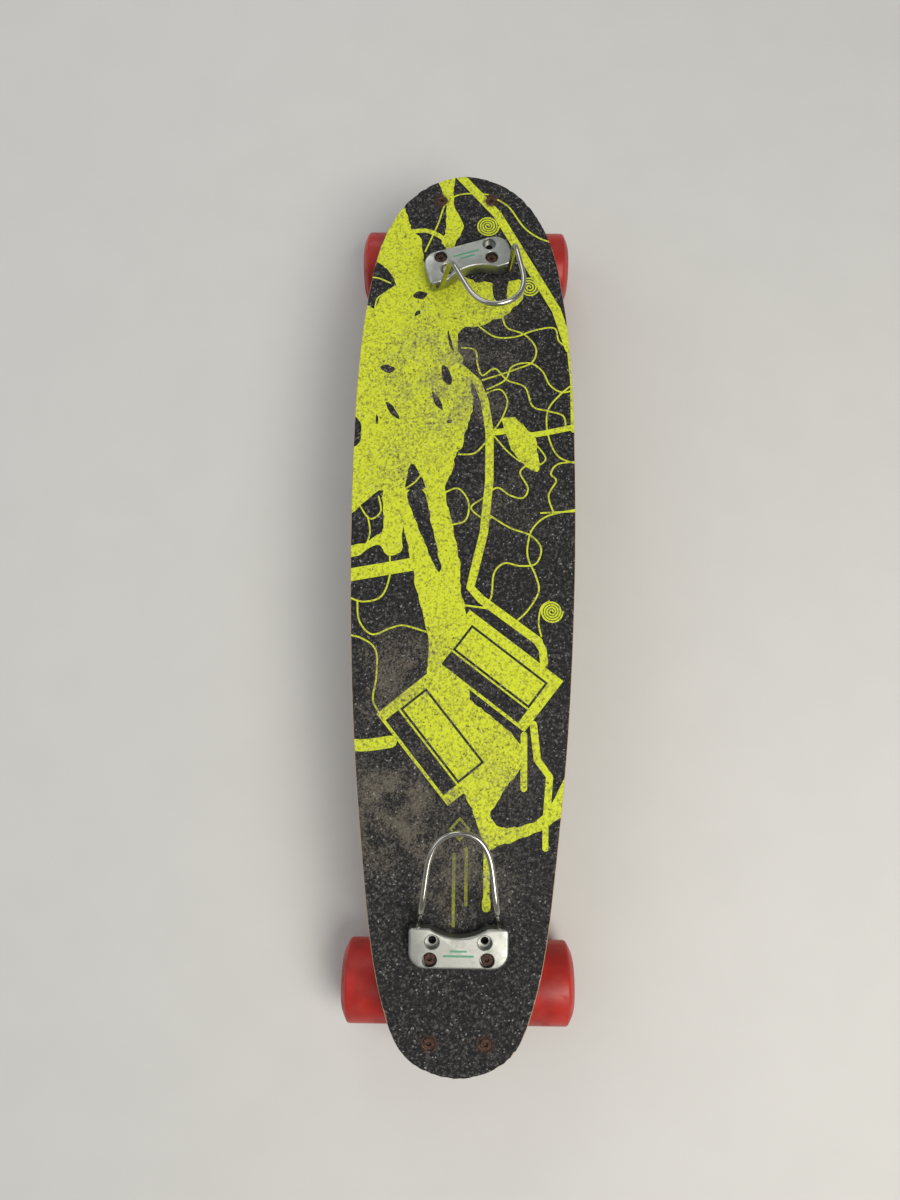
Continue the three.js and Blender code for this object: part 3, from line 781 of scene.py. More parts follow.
@dataclass(frozen=True)
class Moulded(Finish):
    """Cast urethane or moulded plastic: even colour, slightly cloudy, dulled by dust and scuffs."""

    colour: str = "#B7261D"
    shade: str = "#9A201A"
    dust: str = "#8E5B50"
    dusty: float = 0.2
    scuff_size: float = 14 * MM
    texture: float = 1.2 * MM
    depth: float = 0.04 * MM

    def paint(self, tree: NodeTree, shader: Node, place: NodeSocket) -> None:
        """Clouds the colour, then rubs dust into it in patches and fine scuffs."""
        cloud = add(
            tree, "MapRange", EASED, {0: grains(tree, place, 30 * MM, 2.0), 1: 0.35, 2: 0.65}
        ).outputs[0]
        body = add(tree, "Mix", COLOURS, {0: cloud, 6: linear(self.colour), 7: linear(self.shade)}).outputs[2]
        patches = add(
            tree, "MapRange", EASED, {0: grains(tree, place, self.scuff_size, 6.0, 6.6), 1: 0.44, 2: 0.7}
        ).outputs[0]
        fine = grains(tree, place, self.texture, 4.0, 1.7)
        dusty = add(
            tree,
            "Math",
            PRODUCT,
            {
                0: patches,
                1: add(
                    tree, "MapRange", EASED, {0: fine, 1: 0.38, 2: 0.66, 3: 0.2 * self.dusty, 4: self.dusty}
                ).outputs[0],
            },
        ).outputs[0]
        tree.links.new(
            add(tree, "Mix", COLOURS, {0: dusty, 6: body, 7: linear(self.dust)}).outputs[2],
            shader.inputs["Base Color"],
        )
        low, high = self.roughness - 0.08, self.roughness + 0.14
        tree.links.new(
            add(tree, "MapRange", EASED, {0: patches, 1: 0.0, 2: 1.0, 3: low, 4: high}).outputs[0],
            shader.inputs["Roughness"],
        )
        tree.links.new(
            add(tree, "Bump", inputs={"Height": fine, "Distance": self.depth, "Strength": 1.0}).outputs[0],
            shader.inputs["Normal"],
        )


# Where feet stand and twist, so the ink is dullest there.
SHOE_ZONES = (
    WornZone(-0.015, 0.170, 0.100, 0.85),
    WornZone(0.020, 0.235, 0.060, 0.5),
    WornZone(-0.045, 0.095, 0.060, 0.5),
    WornZone(0.030, 0.070, 0.075, 0.45),
    WornZone(-0.045, -0.070, 0.080, 0.75),
    WornZone(-0.045, -0.170, 0.090, 1.0),
    WornZone(0.000, -0.205, 0.085, 0.8),
    WornZone(0.030, -0.140, 0.070, 0.45),
)
PRINTED_GRIT = PrintedGrit("screen_printed_grit", roughness=0.85, specular=0.3, zones=SHOE_ZONES)
# Anodised aluminium, bead blasted: satin and even, with dull handling marks.
PLATE_ALUMINIUM = Metal(
    "bead_blasted_anodised_aluminium",
    roughness=0.42,
    colour="#A6A8A2",
    stain="#85857A",
    stained=0.4,
    texture=0.5 * MM,
    depth=0.02 * MM,
)
# Aluminium, sand cast: a pebbled grey skin with dirt in its hollows.
CAST_ALUMINIUM = Metal(
    "sand_cast_aluminium",
    roughness=0.5,
    colour="#A7A9AB",
    stain="#6D6A64",
    stain_size=11 * MM,
    stained=0.55,
    texture=1.1 * MM,
    depth=0.12 * MM,
)
# Steel wire, drawn: bright and smooth, with long soft stains.
DRAWN_STEEL = Metal(
    "drawn_steel_wire",
    roughness=0.17,
    colour="#A8A69D",
    stain="#625E51",
    stain_size=14 * MM,
    stained=0.5,
    texture=2.0 * MM,
    depth=0.01 * MM,
    spread=0.05,
)
# Steel, zinc plated: dull silver that has begun to brown in spots.
ZINC_STEEL = Metal(
    "zinc_plated_steel",
    roughness=0.38,
    colour="#A3A5A3",
    stain="#6B5E4C",
    stain_size=4 * MM,
    stained=0.5,
    texture=0.6 * MM,
)
# Bearing steel, ground: the cleanest, brightest metal on the board.
GROUND_STEEL = Metal("ground_bearing_steel", roughness=0.22, colour="#B9BBBD", stain="#86817A", stained=0.25)
# Black oxide steel, rusted: dark brown and matt, so the heads read as spots.
RUSTED_STEEL = RustedSteel("rusted_black_oxide_steel", roughness=0.75, metallic=0.2)
# Urethane, cast: deep red, a little cloudy, with a soft broad highlight.
RED_URETHANE = Moulded("cast_red_urethane", roughness=0.46, specular=0.35, subsurface=0.05)
# Urethane, cast unfilled: honey coloured, and light goes a little way in.
AMBER_URETHANE = Moulded(
    "cast_amber_urethane",
    roughness=0.4,
    colour="#D9B667",
    shade="#C29A4E",
    dust="#8A7A62",
    subsurface=0.15,
)
# Nylon, injection moulded: cream, with grey dust in its corners.
CORE_NYLON = Moulded("moulded_natural_nylon", roughness=0.42, colour="#D8D2C2", shade="#C3BBA8", dust="#8F8573")
# Polyethylene, moulded: near black, made grey by dust.
BLACK_PLASTIC = Moulded("moulded_black_polyethylene", roughness=0.5, colour="#1B1B1D", shade="#141416", dust="#6D675E")
# Nitrile rubber, moulded: blue-black and matt between bright rings.
SHIELD_RUBBER = Moulded("moulded_nitrile_seal", roughness=0.55, colour="#22242A", shade="#1A1B1F", dust="#6D675E")
# Ink, pad printed: flat green, thin enough to be worn pale.
GREEN_INK = Moulded("pad_printed_green_ink", roughness=0.5, colour="#3E8A63", shade="#4C9470", dust="#B9BCB4")


# ---------------------------------------------------------------- the print
@dataclass(frozen=True)
class Patch:
    """A filled area of the print, in millimetres: x to the right and y to the nose."""

    outline: tuple[tuple[float, float], ...]
    ink: Ink = Ink.LIME
    curved: bool = True
    ragged: float = 0.8

    def areas(self) -> list[list[Vector]]:
        """The area as one polygon, with an edge as ragged as sprayed paint.

        Returns:
            One list of corners.
        """
        points = curve_through(self.outline, True, 8) if self.curved else [Vector(p) for p in self.outline]
        if not self.ragged:
            return [points]
        shaken = []
        for point in points:
            coarse = noise.noise_vector(Vector((point.x, point.y, 0.0)) / 7.0)
            fine = noise.noise_vector(Vector((point.x, point.y, 9.0)) / 2.3)
            shaken.append(point + (coarse.xy * 1.6 + fine.xy * 0.9) * self.ragged)
        return [shaken]


@dataclass(frozen=True)
class Stroke:
    """A painted line of the print, in millimetres."""

    route: tuple[tuple[float, float], ...]
    width: float
    ink: Ink = Ink.LIME
    curved: bool = True

    def areas(self) -> list[list[Vector]]:
        """The line as a strip of four-sided areas with round ends.

        Returns:
            A list of corners for each area.
        """
        points = curve_through(self.route, False, 8) if self.curved else [Vector(p) for p in self.route]
        half = self.width / 2
        left, right = [], []
        for index, point in enumerate(points):
            ahead = points[min(index + 1, len(points) - 1)]
            behind = points[max(index - 1, 0)]
            across = (ahead - behind).normalized().orthogonal() * half
            left.append(point + across)
            right.append(point - across)
        pieces = [[right[i], right[i + 1], left[i + 1], left[i]] for i in range(len(points) - 1)]
        strip = [[piece[index] for index in geometry.convex_hull_2d(piece)] for piece in pieces]
        ends = [[point + Vector(corner) for corner in polygon(10, half)] for point in (points[0], points[-1])]
        return strip + ends


def spiral(x: float, y: float, radius: float, turns: float = 4.0, width: float = 1.3) -> Stroke:
    """A round spiral, wound out from its middle.

    Args:
        x: Its middle, in millimetres to the right.
        y: Its middle, in millimetres to the nose.
        radius: Its size in millimetres.
        turns: How often it goes round.
        width: The line's width in millimetres.

    Returns:
        The painted line.
    """
    steps = int(turns * 9)
    route = []
    for step in range(steps + 1):
        share = 0.1 + 0.9 * step / steps
        angle = math.tau * turns * step / steps
        route.append((x + radius * share * math.cos(angle), y + radius * share * math.sin(angle)))
    return Stroke(tuple(route), width)


def chip(x: float, y: float, long: float, wide: float, lean: float) -> Patch:
    """A small leaf-shaped gap in the paint.

    Args:
        x: Its middle, in millimetres to the right.
        y: Its middle, in millimetres to the nose.
        long: Half its length.
        wide: Half its width.
        lean: How far it is turned, in degrees.

    Returns:
        The gap, as a patch of the black below.
    """
    turn = Matrix.Rotation(math.radians(lean), 2)
    corners = ((-long, 0.0), (-long * 0.2, wide), (long, wide * 0.3), (long * 0.3, -wide))
    return Patch(
        tuple(tuple(turn @ Vector(corner) + Vector((x, y))) for corner in corners), Ink.BLACK, True, 0.5
    )


def slanted_bar(x: float, y: float, length: float, width: float, lean: float) -> tuple[Patch | Stroke, ...]:
    """A plain bar on a wider ground, with a dark line inside its edge and a dark shade along one side.

    Args:
        x: Its middle, in millimetres to the right.
        y: Its middle, in millimetres to the nose.
        length: Its length in millimetres.
        width: Its width in millimetres.
        lean: How far it is turned, in degrees.

    Returns:
        Its patches, the lowest first.
    """
    turn = Matrix.Rotation(math.radians(lean), 2)

    def box(long: float, wide: float, down: float = 0.0) -> tuple[tuple[float, float], ...]:
        """The corners of a box of half sizes long and wide, moved down across the bar."""
        corners = ((-long, wide - down), (long, wide - down), (long, -wide - down), (-long, -wide - down))
        return tuple(tuple(turn @ Vector(corner) + Vector((x, y))) for corner in corners)

    line = 1.8
    return (
        Patch(box(length / 2 + 8, width / 2 + 12, 4), curved=False, ragged=0.2),
        Patch(box(length / 2, 6, width / 2 + 7.5), Ink.BLACK, False, 0.2),
        Patch(box(length / 2, width / 2), Ink.BLACK, False, 0.0),
        Patch(box(length / 2 - line, width / 2 - line), Ink.LIME, False, 0.0),
    )


BIG_SPLASH = (
    (-100, 372), (-62, 346), (-51, 322), (-46, 304), (-39, 298), (-36, 283), (-30, 264), (-8, 262), (6, 257),
    (
        24, 255
    ), (44, 258), (48, 246), (42, 234), (30, 224), (10, 216), (-4, 212), (-6, 200), (-2, 184), (4, 174),
    (5, 160), (7, 150), (4, 134), (0, 116), (-7, 102), (-12, 84), (-30, 74), (-46, 78), (-66, 74), (-100, 78),
)  # fmt: skip
TRUNK = (
    (-12, 92), (-14, 74), (-8, 46), (-3, 20), (-1, -2), (4, -24), (8, -50), (6, -84), (14, -92), (30, -104),
    (46, -122), (45, -136), (34, -150), (24, -166), (14, -172), (0, -150), (
        -14, -128
    ), (-22, -96), (-26, -72),
    (-25, -42), (-33, -12), (-37, 8), (-42, 30), (-48, 52), (-62, 62), (-60, 84), (-40, 98),
)  # fmt: skip
LOW_POOL = (
    (8, -156), (24, -158), (22, -168), (28, -178), (42, -179), (58, -173), (68, -160), (80, -140), (90, -150),
    (80, -166), (64, -178), (44, -187), (30, -192), (22, -195), (15, -184),
)  # fmt: skip

PRINT: tuple[Patch | Stroke, ...] = (
    Patch(BIG_SPLASH, ragged=1.2),
    Patch(TRUNK),
    Patch(LOW_POOL),
    # gaps that the splash leaves at the left edge and inside it
    Patch(
        ((-96, 276), (-76, 275), (-65, 266), (-58, 253), (-68, 245), (-75, 230), (-84, 236), (-96, 230)),
        Ink.BLACK,
    ),
    Patch(((-104, 142), (-86, 136), (-81, 126), (-84, 112), (-104, 104)), Ink.BLACK),
    Patch(((-41, 97), (-33, 87), (-30, 78), (-40, 75), (-46, 79)), Ink.BLACK),
    Patch(((-44, 73), (-31, 75), (-25, 52), (-17, 16), (-20, 12), (-28, 30), (-38, 54)), Ink.BLACK),
    Patch(((24, 266), (34, 266), (34, 244), (30, 234), (22, 244)), Ink.BLACK),
    chip(-37, 243, 6, 4, 10),
    chip(-39, 226, 3.5, 2, 50),
    chip(-62, 177, 6, 3.4, -12),
    chip(-15, 172, 9, 4, -70),
    chip(-57, 141, 9, 2.8, -55),
    chip(-69, 134, 4.5, 1, -88),
    chip(-22, 150, 9, 2.6, -62),
    chip(-12, 132, 2.4, 1.6, 20),
    chip(-12, 202, 10, 1.4, -76),
    # bands from the nose
    Stroke(((-12, 366), (8, 342), (26, 320), (44, 286), (74, 230), (84, 196)), 7.5, curved=False),
    Stroke(((83, 204), (86, 170), (86, 126)), 4, curved=False),
    Patch(((-27, 366), (-12, 366), (-11, 344), (-10, 326), (-3, 311), (-6, 298), (-13, 284), (-20, 292), (-17, 306),
           (-18, 332))),
    Stroke(((-46, 303), (-34, 304), (-24, 300), (-16, 294)), 4),
    # long angular line down the right side
    Stroke(((-3, 178), (10, 166), (16, 150), (20, 124), (20, 84), (16, 42), (9, 12), (6, -1), (14, -10), (58, -42)),
           6.5, curved=False),
    Stroke(((56, -40), (61, -48), (62, -58)), 6, curved=False),
    # blot on the right with its arms
    Patch(((30, 134), (40, 136), (48, 128), (56, 120), (58, 106), (58, 92), (48, 96), (38, 108), (33, 122))),
    Stroke(((50, 121), (66, 124), (88, 129)), 4.5),
    Stroke(((20, 123), (34, 125)), 5),
    # arm to the left edge, and the plain band below it
    Patch(((-104, 22), (-84, 22), (-66, 31), (-56, 23), (-48, 27), (-46, 40), (-48, 62), (-62, 66), (-62, 44),
           (-70, 37), (-84, 31), (-104, 30))),
    Stroke(((-100, 5), (-30, 18)), 10, curved=False),
    # two plain slanted bars
    *slanted_bar(29, -61, 72, 24, -37),
    *slanted_bar(-14, -113, 70, 25, -51),
    Stroke(((-100, -119), (-74, -121), (-52, -118)), 9),
    # a plain lozenge and two bars near the tail
    Patch(((0, -172), (8, -181), (0, -190), (-8, -181)), Ink.OLIVE, False, 0.1),
    Patch(((0, -174.5), (5.7, -181), (0, -187.5), (-5.7, -181)), Ink.BLACK, False, 0.1),
    Stroke(((-4, -199), (-4, -250)), 2.4, Ink.OLIVE, False),
    Stroke(((5, -195), (5, -235)), 2.4, Ink.OLIVE, False),
    # drips
    Stroke(((47, -112), (47, -151)), 5),
    Stroke(((54, -104), (57, -130), (66, -142), (64, -170)), 5.5, curved=False),
    Stroke(((63, -172), (63, -194)), 4.4),
    Stroke(((20, -186), (20, -236)), 4.6),
    Stroke(((20, -232), (20, -237)), 6.2),
    # thin wandering lines
    Stroke(((-34, 284), (-24, 310), (-18, 330), (-8, 339), (6, 341), (18, 340)), 1.3),
    Stroke(((26, 335), (36, 327), (48, 308), (60, 298), (72, 293)), 1.4),
    Stroke(((10, 216), (24, 206), (40, 206), (56, 212), (72, 214), (76, 202), (88, 194)), 1.3),
    Stroke(((30, 224), (34, 214), (48, 208), (57, 196), (54, 184), (42, 178), (26, 172), (14, 168)), 1.3),
    Stroke(((-3, 196), (8, 194), (10, 182), (14, 172), (24, 178), (34, 168), (48, 162), (54, 146), (66, 142),
            (78, 138), (80, 128)), 1.3),
    Stroke(((18, 160), (32, 168), (38, 180), (52, 183), (62, 176), (68, 164), (78, 158), (92, 162)), 1.3),
    Stroke(((16, 156), (28, 160), (34, 150), (30, 136), (24, 126)), 1.2),
    Stroke(((90, 98), (74, 104), (66, 122), (66, 142), (76, 156), (90, 168)), 1.3),
    Stroke(((-4, 105), (8, 106), (16, 114)), 1.3),
    Stroke(((24, 120), (34, 108), (44, 100), (56, 96), (64, 102), (58, 112)), 1.1),
    Stroke(
        ((48, 96), (44, 90), (50, 78), (46, 70), (36, 72), (26, 78), (16, 70), (6, 62), (14, 54), (22, 54)),
        1.3,
    ),
    Stroke(((70, 58), (66, 72), (72, 84), (68, 90), (74, 98), (92, 100)), 1.3),
    Stroke(((60, 58), (92, 60)), 1.3),
    Stroke(((92, 62), (66, 56), (54, 46), (50, 34), (50, 22), (56, 8), (58, -4), (50, -18), (42, -26)), 1.3),
    Stroke(
        ((20, 56), (36, 46), (52, 40), (60, 30), (56, 18), (44, 16), (32, 18), (24, 10), (22, -8), (16, -16)),
        1.3,
    ),
    Stroke(((-14, 74), (-4, 77), (4, 66), (2, 52), (-8, 48)), 1.3),
    Stroke(((2, -15), (18, -17)), 1.4),
    Stroke(((-88, 78), (-80, 62), (-72, 52), (-64, 58), (-66, 70)), 1.2),
    Stroke(((-90, 24), (-78, 26), (-72, 40), (-74, 54)), 1.2),
    Stroke(((-88, -9), (-76, -13), (-62, -9), (-56, 6), (-56, 22)), 1.3),
    Stroke(((-80, -12), (-78, -28), (-68, -38), (-54, -33), (-44, -31), (-26, -36)), 1.3),
    Stroke(((-90, -38), (-76, -41), (-65, -50), (-64, -70), (-66, -88), (-57, -102)), 1.3),
    Stroke(((60, -38), (58, -28), (60, -16), (66, -11)), 1.2),
    Stroke(((-88, 258), (-74, 259), (-62, 254)), 1.2),
    Stroke(((-74, 230), (-72, 240), (-64, 246)), 1.2),
    Stroke(((-46, 76), (-38, 82), (-32, 90)), 1.2),
    spiral(18, 309, 9.5),
    spiral(52, 251, 9.0, 3.5),
    spiral(68, -19, 8.5),
)


# ---------------------------------------------------------------- deck
@dataclass
class Deck:
    """The pressed maple board and the printed grit sheet on it."""

    rounding: float = 1.8 * MM
    sheet_inset: float = 0.7 * MM
    sheet_thickness: float = 0.8 * MM
    bend_step: float = 10 * MM
    bolt_clearance: float = 4.75 * MM
    outline: list[Vector] = field(default_factory=list)
    bend: float = 0.0
    top: float = 0.0
    underside: float = 0.0
    sheet_top: float = 0.0

    def __post_init__(self) -> None:
        """Reads the outline, the heights and the camber from the CAD deck."""
        board = frame["nodes"]["deck_board"].data.vertices
        flat = [Vector((vertex.co.x, vertex.co.y)) for vertex in board]
        hull = [flat[index] for index in geometry.convex_hull_2d(flat)]
        smooth = curve_through(hull, True, 5)
        self.outline = [smooth[index] for index in geometry.convex_hull_2d(smooth)]
        central = [vertex.co.z for vertex in board if abs(vertex.co.y) < 25 * MM]
        self.top, self.underside = max(central), min(central)
        low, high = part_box("deck_board")
        self.bend = (high.z - low.z - (self.top - self.underside)) / high.y**2
        self.sheet_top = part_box("grip_sheet")[1].z

    def fall(self, y: float) -> float:
        """How far the camber has dropped at a distance from the middle."""
        return self.bend * y * y

    def inset(self, distance: float, wobble: float = 0.0) -> list[Vector]:
        """The outline moved inwards, with the small bites that knocks leave.

        Args:
            distance: How far inwards, in metres.
            wobble: How deep the bites go, in metres.

        Returns:
            The corners, in order.
        """
        points = []
        knocks_from, knocks_grow, bites_per_metre = 240, 90, 210  # the first two are millimetres from the middle
        count = len(self.outline)
        for index, point in enumerate(self.outline):
            along = self.outline[(index + 1) % count] - self.outline[index - 1]
            inwards = Vector((-along.y, along.x)).normalized()
            if inwards.dot(point) > 0:
                inwards.negate()
            end = min(1.0, max(0.0, abs(point.y) * 1000 - knocks_from) / knocks_grow)
            bite = max(
                0.0, noise.noise(Vector((point.x, point.y, 0.5)) * bites_per_metre)
            ) * wobble * (0.25 + end)
            points.append(point + inwards * (distance + bite))
        return points

    def board(self) -> Object:
        """The laminated board: rounded rims, bent along its camber."""
        thickness = self.top - self.underside
        mesh = prism([tuple(point) for point in self.outline], 0.0, thickness)
        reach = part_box("deck_board")[1].y
        steps = int(reach / self.bend_step)
        for index in range(-steps, steps + 1):
            everything = [*mesh.verts, *mesh.edges, *mesh.faces]
            bmesh.ops.bisect_plane(
                mesh, geom=everything, dist=1e-6, plane_co=(
                    0.0, index * self.bend_step, 0.0
                ), plane_no=(0, 1, 0)
            )
        level = [edge for edge in mesh.edges if abs(edge.verts[0].co.z - edge.verts[1].co.z) < 1e-6]
        rims = [edge for edge in level if edge.calc_face_angle(0.0) > 1.0]
        bmesh.ops.bevel(
            mesh, geom=rims, offset=self.rounding, segments=4, profile=0.5, affect="EDGES", material=-1
        )
        for vertex in mesh.verts:
            vertex.co.z += self.underside - self.fall(vertex.co.y)
        tags = [f"{row}_{side}_{end}" for row in ("inner", "outer") for side in SIDES for end in ENDS]
        mesh = carve(mesh, [SocketBolt(f"bolt_{tag}", f"lock_nut_{tag}").well() for tag in tags])
        finish = MapleLaminate("pressed_maple_laminate", roughness=0.42, coat=0.25, underside=self.underside,
                               ply=thickness / 7, bend=self.bend)  # fmt: skip
        return add_piece("maple_board", mesh, finish.material(), "board", ["deck_board"], 50.0)

    def sheet(self) -> Object:
        """The grit sheet, divided along the edges of its print, with a hole over each outer bolt."""
        corners: list[Vector] = []
        faces: list[list[int]] = []
        inks: list[Ink | None] = []

        def lay(points: Sequence[Vector], ink: Ink | None) -> None:
            """Adds one area on top of those already laid; ink None is a hole."""
            area = sum(a.cross(b) for a, b in zip(points, [*points[1:], points[0]]))
            ordered = points if area > 0 else points[::-1]
            faces.append(list(range(len(corners), len(corners) + len(ordered))))
            corners.extend(ordered)
            inks.append(ink)

        lay(self.inset(self.sheet_inset, 1.4 * MM), Ink.BLACK)
        for mark in PRINT:
            for points in mark.areas():
                lay([point * MM for point in points], mark.ink)
        for spot in outer_bolt_heads():
            lay([spot.xy + Vector(corner) for corner in polygon(28, self.bolt_clearance)], None)
        steps = int(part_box("deck_board")[1].y / self.bend_step)
        folds = []
        for index in range(-steps, steps + 1):
            folds.append((len(corners), len(corners) + 1))
            corners.extend((Vector((-0.12, index * self.bend_step)), Vector((0.12, index * self.bend_step))))
        found = geometry.delaunay_2d_cdt(corners, folds, faces, 0, 1e-6)
        mesh = bmesh.new()
        ink_layer = mesh.faces.layers.float.new("ink")
        verts = [mesh.verts.new((x, y, self.sheet_top - self.fall(y))) for x, y in found[0]]
        for triangle, sources in zip(found[2], found[5]):
            if 0 not in sources or inks[max(sources)] is None:
                continue
            face = mesh.faces.new([verts[index] for index in triangle])
            face[ink_layer] = inks[max(sources)].value
        loose = [vertex for vertex in mesh.verts if not vertex.link_faces]
        bmesh.ops.delete(mesh, geom=loose, context="VERTS")
        bmesh.ops.recalc_face_normals(mesh, faces=mesh.faces)
        if sum(face.normal.z for face in mesh.faces) < 0:
            bmesh.ops.reverse_faces(mesh, faces=mesh.faces)
        bmesh.ops.solidify(mesh, geom=mesh.faces, thickness=self.sheet_thickness)
        return add_piece(
            "printed_grit_sheet", mesh, PRINTED_GRIT.material(), "board", ["grip_sheet"]
        )


# ---------------------------------------------------------------- fasteners
@dataclass(frozen=True)
class SocketBolt:
    """A mounting bolt: low round head with a six-sided socket."""

    name: str
    nut: str
    socket: float = 1.9 * MM
    socket_depth: float = 1.9 * MM
    shank_radius: float = 2.4 * MM
    head_radius: float = 4.4 * MM
    head_height: float = 3.0 * MM

    def well(self, play: float = 0.25 * MM) -> BMesh:
        """The room that the bolt takes up in the board, from its tip to past its head."""
        line = line_between(self.nut, self.name)
        low, high = line.span(self.name)
        seat = high - self.head_height
        shank, head = self.shank_radius + play, self.head_radius + play
        beyond = high + 6 * MM
        return turned(
            ((0.0, low), (shank, low), (shank, seat), (head, seat), (head, beyond), (0.0, beyond)), line, 40
        )

    def build(self) -> None:
        """Makes the bolt on its CAD solid's axis, head upwards."""
        line = line_between(self.nut, self.name)
        low, high = line.span(self.name)
        seat = high - self.head_height
        edge = 0.7 * MM
        profile = (
            (0.0, low),
            (self.shank_radius - edge, low),
            (self.shank_radius, low + edge),
            (self.shank_radius, seat),
            (self.head_radius, seat),
            (self.head_radius, high - edge),
            (self.head_radius - edge * 0.35, high - edge * 0.35),
            (self.head_radius - edge, high),
            (0.0, high),
        )
        key = prism(polygon(6, self.socket), high - self.socket_depth, high + 1 * MM)
        bmesh.ops.transform(key, matrix=line.matrix(), verts=key.verts)
        mesh = carve(turned(profile, line, 40), [key])
        piece = add_piece(
            f"{self.name}_rusted", mesh, RUSTED_STEEL.material(), "board", [self.name], 28.0
        )
        soften(piece, 0.15 * MM, 1)


@dataclass(frozen=True)
class HexNut:
    """A six-sided nut with chamfered corners, and a plastic ring if it locks."""

    name: str
    line: Line
    radius: float
    hole: float
    body: str
    slot: str
    outwards: float = 1.0
    locking: bool = True

    def build(self) -> None:
        """Makes the nut on its CAD solid's place."""
        low, high = self.line.span(self.name)
        height = high - low
        hexagon = prism(polygon(6, self.radius), low, high)
        bmesh.ops.transform(hexagon, matrix=self.line.matrix(), verts=hexagon.verts)
        flat = self.radius * math.cos(math.pi / 6)
        over = self.radius * 1.4
        rise = 0.16 * height
        tools = [
            turned(((self.hole, low - MM), (self.hole, high + MM), (0.0, high + MM), (0.0, low - MM))[::-1],
                   self.line, 32)
        ]  # fmt: skip
        for face, way in ((low, 1.0), (high, -1.0)):
            ring = (
                (flat, face - way * MM),
                (flat, face),
                (over, face + way * rise * 2.2),
                (over, face - way * MM),
            )
            tools.append(turned(ring, self.line, 48))
        piece = add_piece(f"{self.name}_plated", carve(hexagon, tools), ZINC_STEEL.material(), self.body,
                          [self.name], 20.0)  # fmt: skip
        soften(piece, 0.12 * MM, 1, 25.0)
        if self.locking:
            face = high if self.outwards > 0 else low
            inner = self.hole
            ring = (
                (inner, face - self.outwards * 0.6 * MM),
                (flat * 0.86, face - self.outwards * 0.6 * MM),
                (flat * 0.84, face + self.outwards * 0.35 * MM),
                (inner + 0.3 * MM, face + self.outwards * 0.35 * MM),
            )
            add_piece(
                f"{self.name}_insert",
                turned(ring, self.line, 32),
                CORE_NYLON.material(),
                self.body,
            )


